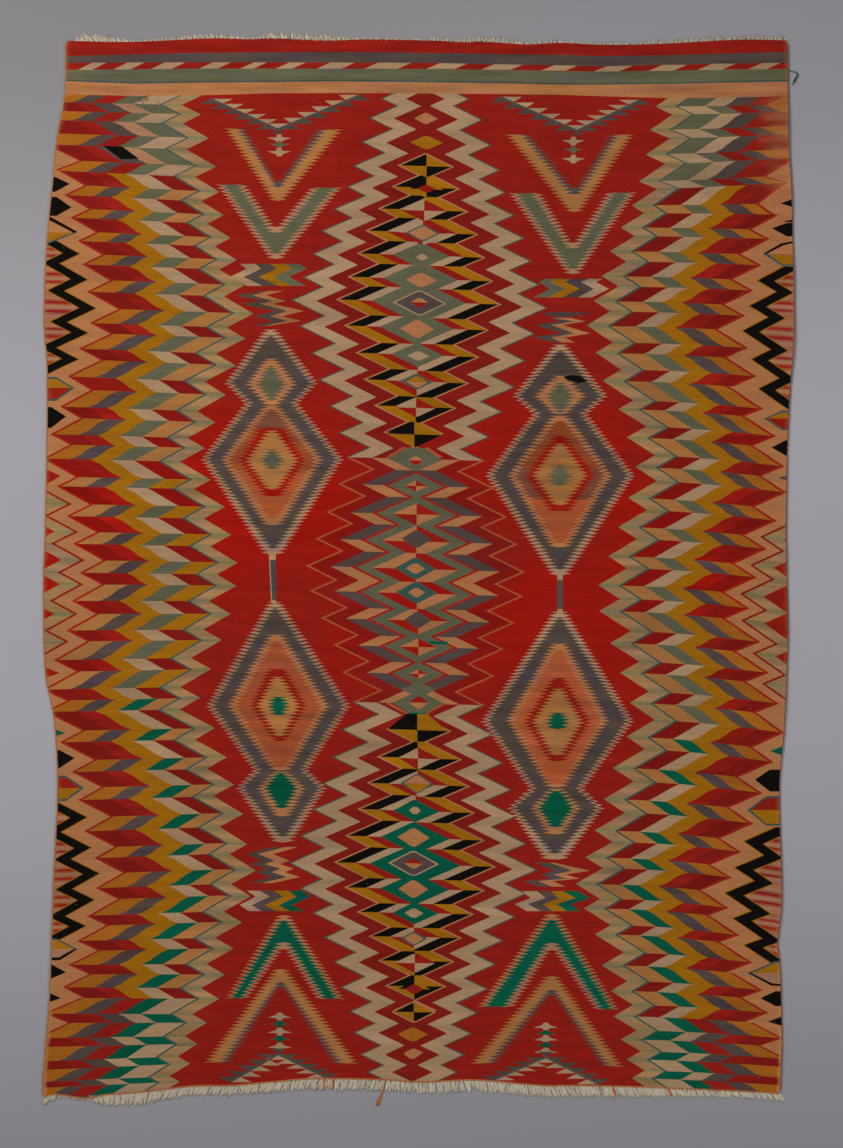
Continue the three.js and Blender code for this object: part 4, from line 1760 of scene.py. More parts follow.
@dataclass
class Yarns:
    """Many yarns in one mesh, each a closed tapering tube.

    Attributes:
        paths: Middle lines in millimetres, as (yarns, stations, 3).
        radii: Their thickness at each station.
        dyes: Scene-linear colour of each yarn, as (yarns, 3).
        sides: Sides of a tube.
    """

    paths: np.ndarray
    radii: np.ndarray
    dyes: np.ndarray
    sides: int = 6

    def surface(self) -> tuple[np.ndarray, list]:
        """Points and faces of all tubes.

        Returns:
            Each tube is path(s) + radius(s) * (side cos t + up sin t), with a flat cap on both ends.
        """
        count, stations, _ = self.paths.shape
        along = np.gradient(self.paths, axis=1)
        along /= np.linalg.norm(along, axis=2, keepdims=True) + 1e-9
        side = np.cross(along, np.array([0.0, 0.0, 1.0]))
        side /= np.linalg.norm(side, axis=2, keepdims=True) + 1e-9
        up = np.cross(side, along)
        turn = np.arange(self.sides) * (2.0 * math.pi / self.sides)
        turn = turn[None, None, :, None]
        ring = side[:, :, None] * np.cos(turn) + up[:, :, None] * np.sin(turn)
        points = self.paths[:, :, None] + self.radii[:, :, None, None] * ring
        first = (np.arange(count) * stations * self.sides)[:, None, None]
        row = (np.arange(stations - 1) * self.sides)[None, :, None]
        j = np.arange(self.sides)[None, None, :]
        k = (j + 1) % self.sides
        a, d = first + row + j, first + row + k
        quads = np.stack([a, a + self.sides, d + self.sides, d], axis=-1).reshape(-1, 4)
        starts = first[:, 0] + np.arange(self.sides)[None, :]
        ends = starts[:, ::-1] + (stations - 1) * self.sides
        return points.reshape(-1, 3), quads.tolist() + starts.tolist() + ends.tolist()

    def mesh(self) -> tuple[np.ndarray, list, np.ndarray]:
        """Points, faces and per-point dyes."""
        return *self.surface(), self.spread()

    def joined(self, other: "Yarns") -> tuple[np.ndarray, list, np.ndarray]:
        """Puts these yarns and others together.

        Args:
            other: The other yarns.

        Returns:
            Points, faces and per-point dyes of both.
        """
        points, faces, dyes = self.mesh()
        more, more_faces, more_dyes = other.mesh()
        shifted = [[i + len(points) for i in face] for face in more_faces]
        return np.concatenate([points, more]), faces + shifted, np.concatenate([dyes, more_dyes])

    def spread(self) -> np.ndarray:
        """Dye of each point."""
        count, stations, _ = self.paths.shape
        return np.repeat(self.dyes, stations * self.sides, axis=0)


def yarn_object(name: str, mesh: tuple[np.ndarray, list, np.ndarray], finish: str, node: str) -> bpy.types.Object:
    """Makes a piece of yarns with their dyes.

    Args:
        name: Its name.
        mesh: Vertices in millimetres, vertex numbers of each face, and scene-linear colour of each vertex.
        finish: Name of its material.
        node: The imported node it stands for.

    Returns:
        The object, smooth-shaded and declared.
    """
    points, faces, dyes = mesh
    thing = make_object(name, points, faces, YarnFinish(finish).material())
    layer = thing.data.color_attributes.new("dye", "FLOAT_COLOR", "POINT")
    full = np.concatenate([dyes, np.ones((len(dyes), 1))], axis=1)
    layer.data.foreach_set("color", full.astype(np.float32).ravel())
    thing.data.polygons.foreach_set("use_smooth", np.ones(len(thing.data.polygons), bool))
    declare(thing, node)
    return thing


@dataclass
class Cord:
    """A two-ply cord twined along one edge of the cloth.

    Attributes:
        path: Its middle line in millimetres, as (stations, 3).
        outward: 0 if it runs along y, 1 if along x: the axis across it.
        pair: Dyes of its two plies.
        twist: Length of a full turn of the plies.
        spread: Distance of a ply's middle from the cord's.
        ply: Half a ply's thickness.
        seed: Seed of its unevenness.
    """

    path: np.ndarray
    outward: int
    pair: tuple[Dye, Dye]
    twist: float = 10.0
    spread: float = 0.75
    ply: float = 0.85
    seed: int = 1

    def yarns(self) -> Yarns:
        """The two plies.

        Returns:
            Each runs along the path, round it by spread * (cos, sin) of the turn, half a turn apart, with
            a thickness that changes slowly and at random.
        """
        chance = np.random.default_rng(self.seed)
        run = np.concatenate([[0.0], np.cumsum(np.linalg.norm(np.diff(self.path, axis=0), axis=1))])
        wander = np.interp(run, np.linspace(0, run[-1], 60), chance.normal(0.0, 0.35, 60))
        paths, radii = [], []
        for half in (0.0, math.pi):
            turn = run * (2.0 * math.pi / self.twist) + wander * 3.0 + half
            line_of = self.path.copy()
            line_of[:, self.outward] += self.spread * np.cos(turn) + 0.4 * wander
            line_of[:, 2] += self.spread * np.sin(turn)
            paths.append(line_of)
            thick = np.interp(run, np.linspace(0, run[-1], 180), chance.normal(1.0, 0.10, 180))
            radii.append(self.ply * np.clip(thick, 0.7, 1.25))
        return Yarns(np.array(paths), np.array(radii), np.array([linear(dye) for dye in self.pair]))


@dataclass(frozen=True)
class FringeRow:
    """Fringe at one place across an end.

    Attributes:
        x: The place, in millimetres.
        length: Usual length there.
        lean: How far the tips lie to the right of the roots.
    """

    x: float
    length: float
    lean: float


@dataclass
class Fringe:
    """Loose warp ends along one end of the cloth.

    Attributes:
        outline: The cloth's edge.
        way: 1 at the head end, -1 at the foot.
        rows: How long they are and how they lean.
        bundles: Bundles across the end.
        strands: Strands of a bundle.
        thick: Half a strand's thickness at its root.
        gap: Distance of the roots from the cloth's edge.
        span: First and last place across.
        bright: Depth of the cotton's colour.
        ragged: How far the bundles' lengths differ.
        seed: Seed of its unevenness.
        taper: Thickness of a strand from its root to its tip, as shares of thick.
    """

    outline: Outline
    way: int
    rows: Sequence[FringeRow]
    bundles: int
    strands: int
    thick: float
    gap: float
    span: tuple[float, float]
    bright: tuple[float, float, float]
    ragged: float
    seed: int
    taper: tuple[float, ...] = (1.0, 1.0, 0.98, 0.95, 0.9, 0.82, 0.66, 0.35)

    def yarns(self) -> Yarns:
        """The strands.

        Returns:
            Bundles at even places with random ones about them; a strand runs outward by its length,
            sideways by lean * t + curl * t squared, and sinks from the warp's height to the floor.
        """
        chance = np.random.default_rng(self.seed)
        at = [row.x for row in self.rows]
        places = np.linspace(self.span[0], self.span[1], self.bundles)
        places = places + chance.normal(0.0, 0.9, self.bundles)
        centre = np.repeat(places, self.strands)
        total = len(centre)
        length = np.interp(centre, at, [row.length for row in self.rows])
        shared = np.repeat(np.clip(chance.normal(1.0, self.ragged, self.bundles), 0.55, 1.4), self.strands)
        length = length * shared * np.clip(chance.normal(1.0, 0.07, total), 0.7, 1.3)
        lean = np.interp(centre, at, [row.lean for row in self.rows])
        lean = lean + np.repeat(chance.normal(0.0, 2.0, self.bundles), self.strands)
        lean = lean + chance.normal(0.0, 0.8, total)
        curl = np.repeat(chance.normal(0.0, 2.2, self.bundles), self.strands) + chance.normal(0.0, 0.7, total)
        root = centre + chance.normal(0.0, 0.75, total)
        t = np.linspace(0.0, 1.0, len(self.taper))[None, :]
        x = root[:, None] + (lean * np.minimum(length / 12.0, 1.2))[:, None] * t + curl[:, None] * t * t
        edge = self.outline.end_y(self.way, root)
        y = edge[:, None] + self.way * (self.gap + length[:, None] * t)
        high = 1.5 + chance.normal(0.0, 0.35, total)
        z = 0.55 + (high[:, None] - 0.55) * (1.0 - t) ** 1.5
        z = z + np.abs(chance.normal(0.0, 0.3, total))[:, None] * t
        uneven = np.clip(chance.normal(1.0, 0.12, total), 0.7, 1.3)[:, None]
        radii = self.thick * np.array(self.taper)[None, :] * uneven
        tone = np.clip(chance.normal(1.0, 0.10, total), 0.72, 1.2)[:, None]
        dyes = np.array(self.bright)[None, :] * tone
        return Yarns(np.stack([x, y, z], axis=2), radii, dyes, sides=5)


@dataclass(frozen=True)
class Tail:
    """A loose yarn end lying on the floor.

    Attributes:
        bends: Its way, as (x, y, z) in millimetres.
        dye: Its dye.
        thick: Half its thickness.
        strands: Fibre bundles that it opens into.
        seed: Seed of their spread.
        stations: Rings of points along one.
    """

    bends: tuple[tuple[float, float, float], ...]
    dye: Dye
    thick: float
    strands: int
    seed: int
    stations: int = 18

    def yarns(self) -> Yarns:
        """Builds the fibre bundles.

        Returns:
            The bends, smoothed, and spread apart towards the free end.
        """
        chance = np.random.default_rng(self.seed)
        bends = np.array(self.bends)
        t = np.linspace(0.0, 1.0, self.stations)
        known = np.linspace(0, 1, len(bends))
        smooth = np.stack([np.interp(t, known, bends[:, i]) for i in range(3)], axis=1)
        for _ in range(3):
            smooth[1:-1] = (smooth[:-2] + 2 * smooth[1:-1] + smooth[2:]) / 4.0
        spread = chance.normal(0.0, 1.0, (self.strands, 1, 3)) * np.array([1.4, 1.4, 0.25])
        paths = smooth[None] + spread * (t[None, :, None] ** 2) * 1.6
        paths[:, :, 2] = np.maximum(paths[:, :, 2], self.thick + 0.1)
        radii = self.thick * (1.0 - 0.5 * t[None, :]) * np.ones((self.strands, 1))
        tone = np.clip(chance.normal(1.0, 0.12, (self.strands, 1)), 0.7, 1.3)
        return Yarns(paths, radii, linear(self.dye)[None, :] * tone, sides=5)


@dataclass
class Wiring:
    """Puts nodes into one node tree and joins them.

    Attributes:
        tree: The node tree.
    """

    tree: bpy.types.NodeTree

    def add(self, kind: str, **settings: object) -> bpy.types.Node:
        """Adds a node and sets its properties.

        Args:
            kind: Its bpy type.
            **settings: Properties by name.

        Returns:
            The node.
        """
        made = self.tree.nodes.new(kind)
        for name, value in settings.items():
            setattr(made, name, value)
        return made

    def feed(self, socket: bpy.types.NodeSocket, value: object) -> None:
        """Links a socket to another one, or sets it to a constant.

        Args:
            socket: The input that is fed.
            value: The output that feeds it, or a constant.
        """
        if isinstance(value, bpy.types.NodeSocket):
            self.tree.links.new(value, socket)
        else:
            socket.default_value = value

    def math(self, operation: str, first: object, second: object = 0.0,
             third: object = 0.0) -> bpy.types.NodeSocket:
        """Adds a maths node.

        Args:
            operation: Its operation.
            first: First input, a socket or a number.
            second: Second input.
            third: Third input, where the operation has one.

        Returns:
            Its output.
        """
        made = self.add("ShaderNodeMath", operation=operation)
        for socket, value in zip(made.inputs, (first, second, third)):
            self.feed(socket, value)
        return made.outputs[0]

    def times(self, first: object, second: object) -> bpy.types.NodeSocket:
        """Product of two values."""
        return self.math("MULTIPLY", first, second)

    def plus(self, first: object, second: object) -> bpy.types.NodeSocket:
        """Sum of two values."""
        return self.math("ADD", first, second)

    def minus(self, first: object, second: object) -> bpy.types.NodeSocket:
        """Difference of two values."""
        return self.math("SUBTRACT", first, second)

    def step(self, value: object, low: float, high: float) -> bpy.types.NodeSocket:
        """Adds a smooth step.

        Args:
            value: What is stepped.
            low: Where the step is 0.
            high: Where it is 1.

        Returns:
            Its result.
        """
        made = self.add("ShaderNodeMapRange", interpolation_type="SMOOTHSTEP")
        self.feed(made.inputs["Value"], value)
        made.inputs["From Min"].default_value = low
        made.inputs["From Max"].default_value = high
        return made.outputs["Result"]

    def noise(self, across: object, along: object, scale: float, detail: float = 2.0,
              third: object = 0.0) -> bpy.types.NodeSocket:
        """Adds a noise over two or three coordinates.

        Args:
            across: First coordinate.
            along: Second coordinate.
            scale: Its scale.
            detail: Its detail.
            third: Third coordinate.

        Returns:
            Its value, about 0.5.
        """
        place = self.add("ShaderNodeCombineXYZ")
        for socket, value in zip(place.inputs, (across, along, third)):
            self.feed(socket, value)
        made = self.add("ShaderNodeTexNoise")
        self.tree.links.new(place.outputs[0], made.inputs["Vector"])
        made.inputs["Scale"].default_value = scale
        made.inputs["Detail"].default_value = detail
        return made.outputs[0]

    def mix(self, share: object, first: object, second: object, how: str = "MIX") -> bpy.types.NodeSocket:
        """Adds a colour mix.

        Args:
            share: How much of the second colour.
            first: First colour, a socket or four numbers.
            second: Second colour.
            how: The blend type.

        Returns:
            The mixed colour.
        """
        made = self.add("ShaderNodeMix", data_type="RGBA", blend_type=how)
        self.feed(made.inputs["Factor"], share)
        colours = [socket for socket in made.inputs if socket.type == "RGBA"]
        for socket, value in zip(colours, (first, second)):
            self.feed(socket, value)
        return made.outputs[2]

    def group(self, tree: bpy.types.NodeTree, **inputs: object) -> bpy.types.Node:
        """Adds a group node and feeds its inputs.

        Args:
            tree: The group.
            **inputs: Values or sockets by input name, in small letters.

        Returns:
            The node.
        """
        made = self.add("ShaderNodeGroup", node_tree=tree)
        for name, value in inputs.items():
            self.feed(made.inputs[name.title()], value)
        return made

    def place(self) -> list[bpy.types.NodeSocket]:
        """Reads the place of the shaded point.

        Returns:
            Its three object coordinates in metres.
        """
        made = self.add("ShaderNodeSeparateXYZ")
        self.feed(made.inputs[0], self.add("ShaderNodeTexCoord").outputs["Object"])
        return list(made.outputs)

    def deepened(self, colour: object, depth: object) -> bpy.types.NodeSocket:
        """Multiplies a colour by a number.

        Args:
            colour: The colour.
            depth: The number.

        Returns:
            The product.
        """
        grey = self.add("ShaderNodeCombineColor")
        for socket in grey.inputs:
            self.feed(socket, depth)
        return self.mix(1.0, colour, grey.outputs[0], "MULTIPLY")

    def bump(self, height: object, strength: float, distance: float) -> bpy.types.NodeSocket:
        """Turns a height into a normal.

        Args:
            height: The height, from 0 to 1.
            strength: How strongly it shows.
            distance: Height in metres that 1 stands for.

        Returns:
            The normal.
        """
        made = self.add("ShaderNodeBump")
        made.inputs["Strength"].default_value = strength
        made.inputs["Distance"].default_value = distance
        self.feed(made.inputs["Height"], height)
        return made.outputs[0]


def new_group(name: str, gives: str, kind: str,
              **takes: object) -> tuple[Wiring, dict[str, bpy.types.NodeSocket], bpy.types.NodeSocket]:
    """Makes an empty node group.

    Args:
        name: Its name.
        gives: Name of its output.
        kind: Kind of its output, "Color" or "Float".
        **takes: Usual values of its inputs by name: a number, or four for a colour.

    Returns:
        Its wiring, its inputs by name, and the socket that its output is fed by.
    """
    tree = bpy.data.node_groups.new(name, "ShaderNodeTree")
    for label, value in takes.items():
        socket = "NodeSocketColor" if isinstance(value, tuple) else "NodeSocketFloat"
        made = tree.interface.new_socket(label, in_out="INPUT", socket_type=socket)
        made.default_value = value
    tree.interface.new_socket(gives, in_out="OUTPUT", socket_type=f"NodeSocket{kind}")
    wiring = Wiring(tree)
    start, end = wiring.add("NodeGroupInput"), wiring.add("NodeGroupOutput")
    return wiring, {socket.name: socket for socket in start.outputs}, end.inputs[0]


def abrash_group() -> bpy.types.NodeTree:
    """Uneven dye along the wefts.

    Returns:
        A group that takes Dye, Across, Level and Run, and gives Color: the dye made lighter and darker in
        long thin streaks along the wefts, in fine speckles from yarn to yarn, and turned bluer or browner
        where Run is strong.
    """
    w, takes, result = new_group("Abrash", "Color", "Color", Dye=MID_GREY, Across=0.0, Level=0.0, Run=0.3)
    across, level, run = takes["Across"], takes["Level"], takes["Run"]
    slow = w.noise(w.times(across, 6.0), w.times(level, 55.0), 1.0, 2.0)
    streak = w.noise(w.times(across, 22.0), w.times(level, 420.0), 1.0, 3.0)
    speck = w.noise(w.times(across, 160.0), w.times(level, 700.0), 1.0, 2.0)
    slow_part = w.times(w.minus(slow, 0.5), w.times(run, 1.2))
    streak_part = w.times(w.minus(streak, 0.5), 0.40)
    speck_part = w.times(w.minus(speck, 0.5), 0.62)
    depth = w.plus(1.0, w.plus(slow_part, w.plus(streak_part, speck_part)))
    toned = w.deepened(takes["Dye"], depth)
    hue = w.noise(w.times(across, 9.0), w.times(level, 48.0), 1.0, 1.0, 3.7)
    blue = w.times(w.step(hue, 0.48, 0.70), w.times(run, 0.75))
    brown = w.times(w.step(hue, 0.50, 0.32), w.times(run, 0.5))
    cool = w.mix(blue, toned, (0.86, 0.86, 1.30, 1.0), "MULTIPLY")
    w.feed(result, w.mix(brown, cool, (1.10, 0.98, 0.80, 1.0), "MULTIPLY"))
    return w.tree


def wear_group() -> bpy.types.NodeTree:
    """Age on the cloth.

    Returns:
        A group that takes Color, Across and Along, and gives Color: deeper and brighter red patches,
        faint soil, pale lint specks and a brown spot near the head end's left corner.
    """
    w, takes, result = new_group("Wear", "Color", "Color", Color=MID_GREY, Across=0.0, Along=0.0)
    across, along = takes["Across"], takes["Along"]
    cloud = w.noise(across, along, 3.2, 2.0)
    middle = w.times(w.step(along, -0.42, -0.02), w.step(along, 0.46, 0.20))
    bright = w.times(middle, w.times(w.step(cloud, 0.36, 0.60), 0.8))
    warmed = w.mix(bright, takes["Color"], (1.32, 0.55, 0.42, 1.0), "MULTIPLY")
    colours = w.add("ShaderNodeSeparateColor")
    w.feed(colours.inputs[0], takes["Color"])
    excess = w.minus(colours.outputs[0], w.times(colours.outputs[1], 6.0))
    redness = w.step(excess, 0.02, 0.16)
    kept = w.mix(redness, takes["Color"], warmed)
    soil = w.times(w.step(w.noise(across, along, 11.0, 4.0, 1.3), 0.52, 0.78), 0.22)
    soiled = w.mix(soil, kept, (0.62, 0.58, 0.50, 1.0), "MULTIPLY")
    lint = w.math("GREATER_THAN", w.noise(across, along, 330.0, 0.0, 5.0), 0.885)
    dusted = w.mix(w.times(lint, 0.55), soiled, (0.56, 0.50, 0.42, 1.0))
    spot_x = w.math("DIVIDE", w.minus(across, -0.545), 0.040)
    spot_y = w.math("DIVIDE", w.minus(along, 0.930), 0.020)
    far = w.plus(w.times(spot_x, spot_x), w.times(spot_y, spot_y))
    dots = w.step(w.noise(across, along, 120.0, 2.0, 2.0), 0.50, 0.62)
    spot = w.times(w.times(w.step(far, 1.0, 0.1), dots), 0.6)
    w.feed(result, w.mix(spot, dusted, (0.09, 0.055, 0.022, 1.0)))
    return w.tree


def bleed_group() -> bpy.types.NodeTree:
    """Run dye in the head end's right corner and along the selvedges.

    Returns:
        A group that takes Color, Across, Along and Selvedge (metres to the nearer side's edge), and gives
        Color: red, orange and pink drawn out along the wefts near the head's right corner, and an orange
        line along both sides that grows stronger towards the foot.
    """
    w, takes, result = new_group(
        "Dye Bleed", "Color", "Color", Color=MID_GREY, Across=0.0, Along=0.0, Selvedge=1.0)
    across, along = takes["Across"], takes["Along"]
    ragged = w.times(w.minus(w.noise(across, along, 34.0, 2.0), 0.5), 0.07)
    right = w.step(w.plus(across, ragged), 0.655, 0.735)
    tall = w.times(w.step(along, 0.700, 0.780), w.step(along, 0.965, 0.940))
    wefts = w.noise(w.times(across, 8.0), w.times(along, 34.0), 1.0, 2.0, 8.0)
    hue = w.mix(w.step(wefts, 0.38, 0.62), (0.42, 0.075, 0.035, 1.0), (0.52, 0.26, 0.12, 1.0))
    parts = w.add("ShaderNodeSeparateColor")
    w.feed(parts.inputs[0], takes["Color"])
    dyed = w.step(parts.outputs[0], 0.03, 0.09)
    share = w.times(w.times(right, tall), w.times(dyed, 0.40))
    drawn = w.mix(share, takes["Color"], hue)
    uneven = w.math("MULTIPLY_ADD", w.noise(across, along, 60.0, 2.0, 4.0), 0.010, takes["Selvedge"])
    strong = w.math("MULTIPLY_ADD", w.step(along, -0.65, -0.95), 0.55, 0.15)
    line_of = w.times(w.times(w.step(uneven, 0.014, 0.005), strong), dyed)
    w.feed(result, w.mix(line_of, drawn, (0.62, 0.24, 0.07, 1.0)))
    return w.tree


def relief_group() -> bpy.types.NodeTree:
    """Height of a weft-faced weave.

    Returns:
        A group that takes Across, Level, Rib and Weft (two pitches in metres), and gives Height from 0
        to 1: a rounded rib over each warp, and wefts packed between them that change place from rib to rib.
    """
    w, takes, result = new_group(
        "Weave Relief", "Height", "Float", Across=0.0, Level=0.0, Rib=0.0021, Weft=0.0009)
    ribs = w.math("DIVIDE", takes["Across"], takes["Rib"])
    rib = w.math("ABSOLUTE", w.math("SINE", w.times(ribs, math.pi)))
    odd = w.math("FLOORED_MODULO", w.math("FLOOR", ribs), 2.0)
    wefts = w.plus(w.math("DIVIDE", takes["Level"], takes["Weft"]), w.times(odd, 0.5))
    weft = w.math("ABSOLUTE", w.math("SINE", w.times(wefts, math.pi)))
    fuzz = w.noise(takes["Across"], takes["Level"], 900.0, 3.0)
    both = w.plus(w.times(rib, 0.5), w.times(weft, 0.3))
    w.feed(result, w.plus(both, w.times(fuzz, 0.35)))
    return w.tree


@dataclass(frozen=True)
class WoolFinish:
    """Handspun wool tapestry: matt, a little fuzzy, with streaked dyes.

    Attributes:
        roughness: Of the fibres.
        fuzz: Strength of the pale sheen of loose fibres.
        depth: Height of the weave in metres.
        relief: How strongly that height shows.
        shine: Level of the mirror-like reflection.
    """

    roughness: float = 0.92
    fuzz: float = 0.02
    depth: float = 0.0005
    relief: float = 0.5
    shine: float = 0.06

    def material(self) -> bpy.types.Material:
        """Builds the material from the cloth's dyes and loom levels.

        Returns:
            The material.
        """
        made, w, shader = blank_material("Handspun Wool")
        dye = w.add("ShaderNodeAttribute", attribute_name="dye")
        level = w.add("ShaderNodeAttribute", attribute_name="loom_level").outputs["Fac"]
        across, along, _ = w.place()
        abrash = w.group(
            abrash_group(), dye=dye.outputs["Color"], across=across, level=level, run=dye.outputs["Alpha"])
        wear = w.group(wear_group(), color=abrash.outputs[0], across=across, along=along)
        edge = w.add("ShaderNodeAttribute", attribute_name="selvedge").outputs["Fac"]
        bleed = w.group(bleed_group(), color=wear.outputs[0], across=across, along=along, selvedge=edge)
        weave = w.group(relief_group(), across=across, level=level)
        w.feed(shader.inputs["Base Color"], bleed.outputs[0])
        w.feed(shader.inputs["Normal"], w.bump(weave.outputs[0], self.relief, self.depth))
        shader.inputs["Roughness"].default_value = self.roughness
        shader.inputs["Specular IOR Level"].default_value = self.shine
        shader.inputs["Sheen Weight"].default_value = self.fuzz
        return made


@dataclass(frozen=True)
class YarnFinish:
    """Plied yarn: the piece's own dyes, mottled, with fine fibres.

    Attributes:
        name: Name of the material.
        roughness: Of the fibres.
        mottle: How far the dye's depth changes.
        scale: Scale of the mottling, per metre.
        fibres: Scale of the fibres, per metre.
        depth: Height of the fibres in metres.
        relief: How strongly that height shows.
        shine: Level of the mirror-like reflection.
    """

    name: str
    roughness: float = 0.9
    mottle: float = 0.5
    scale: float = 260.0
    fibres: float = 1400.0
    depth: float = 0.0002
    relief: float = 0.6
    shine: float = 0.15

    def material(self) -> bpy.types.Material:
        """Builds the material from the yarns' own dyes.

        Returns:
            The material.
        """
        made, w, shader = blank_material(self.name)
        dye = w.add("ShaderNodeAttribute", attribute_name="dye").outputs["Color"]
        x, y, z = w.place()
        cloud = w.minus(w.noise(x, y, self.scale, 3.0, z), 0.5)
        w.feed(shader.inputs["Base Color"], w.deepened(dye, w.math("MULTIPLY_ADD", cloud, self.mottle, 1.0)))
        w.feed(shader.inputs["Normal"], w.bump(w.noise(x, y, self.fibres, 3.0, z), self.relief, self.depth))
        shader.inputs["Roughness"].default_value = self.roughness
        shader.inputs["Specular IOR Level"].default_value = self.shine
        return made


@dataclass(frozen=True)
class PaperFinish:
    """The photographer's seamless grey paper.

    Attributes:
        name: Name of the material.
        roughness: Of its surface.
        shine: Level of the mirror-like reflection.
    """

    name: str = "Grey Paper With Painted Light"
    roughness: float = 0.95
    shine: float = 0.1

    def material(self) -> bpy.types.Material:
        """Builds the material: grey with painted light, lightest in the middle of its length, lighter at the
        upper right and lower left corners and towards the right, faintly grained.

        Returns:
            The material.
        """
        made, w, shader = blank_material(self.name)
        x, y, _ = w.place()
        # Painted light: the paper is made lighter in the middle of its length, at its upper right and lower left
        # corners and towards the right.
        middle = w.times(w.step(y, -1.5, -0.2), w.step(y, 1.25, 0.2))
        right, upper = w.step(x, -0.9, 0.9), w.step(y, -1.1, 1.1)
        left, lower = w.minus(1.0, right), w.minus(1.0, upper)
        corners = w.plus(w.times(right, upper), w.times(left, lower))
        share = w.plus(w.times(middle, 0.64), w.times(corners, 0.24))
        share = w.math("MULTIPLY_ADD", right, 0.10, share)
        tone = w.mix(share, (0.256, 0.247, 0.256, 1.0), (0.520, 0.502, 0.535, 1.0))
        grain = w.times(w.noise(x, y, 700.0, 2.0), 0.06)
        w.feed(shader.inputs["Base Color"], w.mix(grain, tone, (0.20, 0.20, 0.20, 1.0)))
        shader.inputs["Roughness"].default_value = self.roughness
        shader.inputs["Specular IOR Level"].default_value = self.shine
        return made


def blank_material(name: str) -> tuple[bpy.types.Material, Wiring, bpy.types.Node]:
    """Makes a material with a Principled shader.

    Args:
        name: Its name.

    Returns:
        The material, its wiring and its shader.
    """
    made = bpy.data.materials.new(name)
    made.use_nodes = True
    return made, Wiring(made.node_tree), made.node_tree.nodes["Principled BSDF"]


HEAD_FRINGE = (
    FringeRow(-690, 6, -2), FringeRow(-664, 17, -9), FringeRow(-636, 16, -9), FringeRow(-600, 9, -5),
    FringeRow(-560, 5, -1), FringeRow(-480, 8, 2), FringeRow(-440, 11, -5), FringeRow(-330, 6, 2),
    FringeRow(-290, 13, -2), FringeRow(-180, 12, -3), FringeRow(-120, 5, 0), FringeRow(40, 8, -1),
    FringeRow(160, 12, 4), FringeRow(210, 7, 0), FringeRow(400, 6, 1), FringeRow(540, 10, 6),
    FringeRow(731, 8, 3),
)
FOOT_FRINGE = (
    FringeRow(-750, 17, -6), FringeRow(-728, 15, -8), FringeRow(-714, 6, -2), FringeRow(-664, 5, -2),
    FringeRow(-636, 19, 1), FringeRow(-600, 26, -3), FringeRow(-520, 24, -7), FringeRow(-400, 19, -8),
    FringeRow(-300, 22, -8), FringeRow(-180, 24, -6), FringeRow(-20, 23, -2), FringeRow(60, 24, 4),
    FringeRow(240, 23, 6), FringeRow(320, 23, 5), FringeRow(460, 19, 7), FringeRow(620, 14, 7),
    FringeRow(717, 15, 9),
)
ORANGE_TUFTS = (-188, -172, 362, 386, 496)
ORANGE_TAIL = Tail(
    (
        (-71, -1022, 1.8), (-69, -1030, 1.7), (-74, -1042, 1.4), (-78, -1054, 1.1), (-82, -1066, 0.9),
        (-85, -1071, 0.8),
    ),
    Dye.ORANGE, 0.95, 12, 21,
)
TEAL_TAIL = Tail(
    ((736, 996, 2.0), (746, 995, 2.4), (756, 992, 2.0), (755, 985, 1.4), (750, 978, 1.1), (748, 970, 0.9)),
    Dye.EMERALD, 0.7, 6, 22)


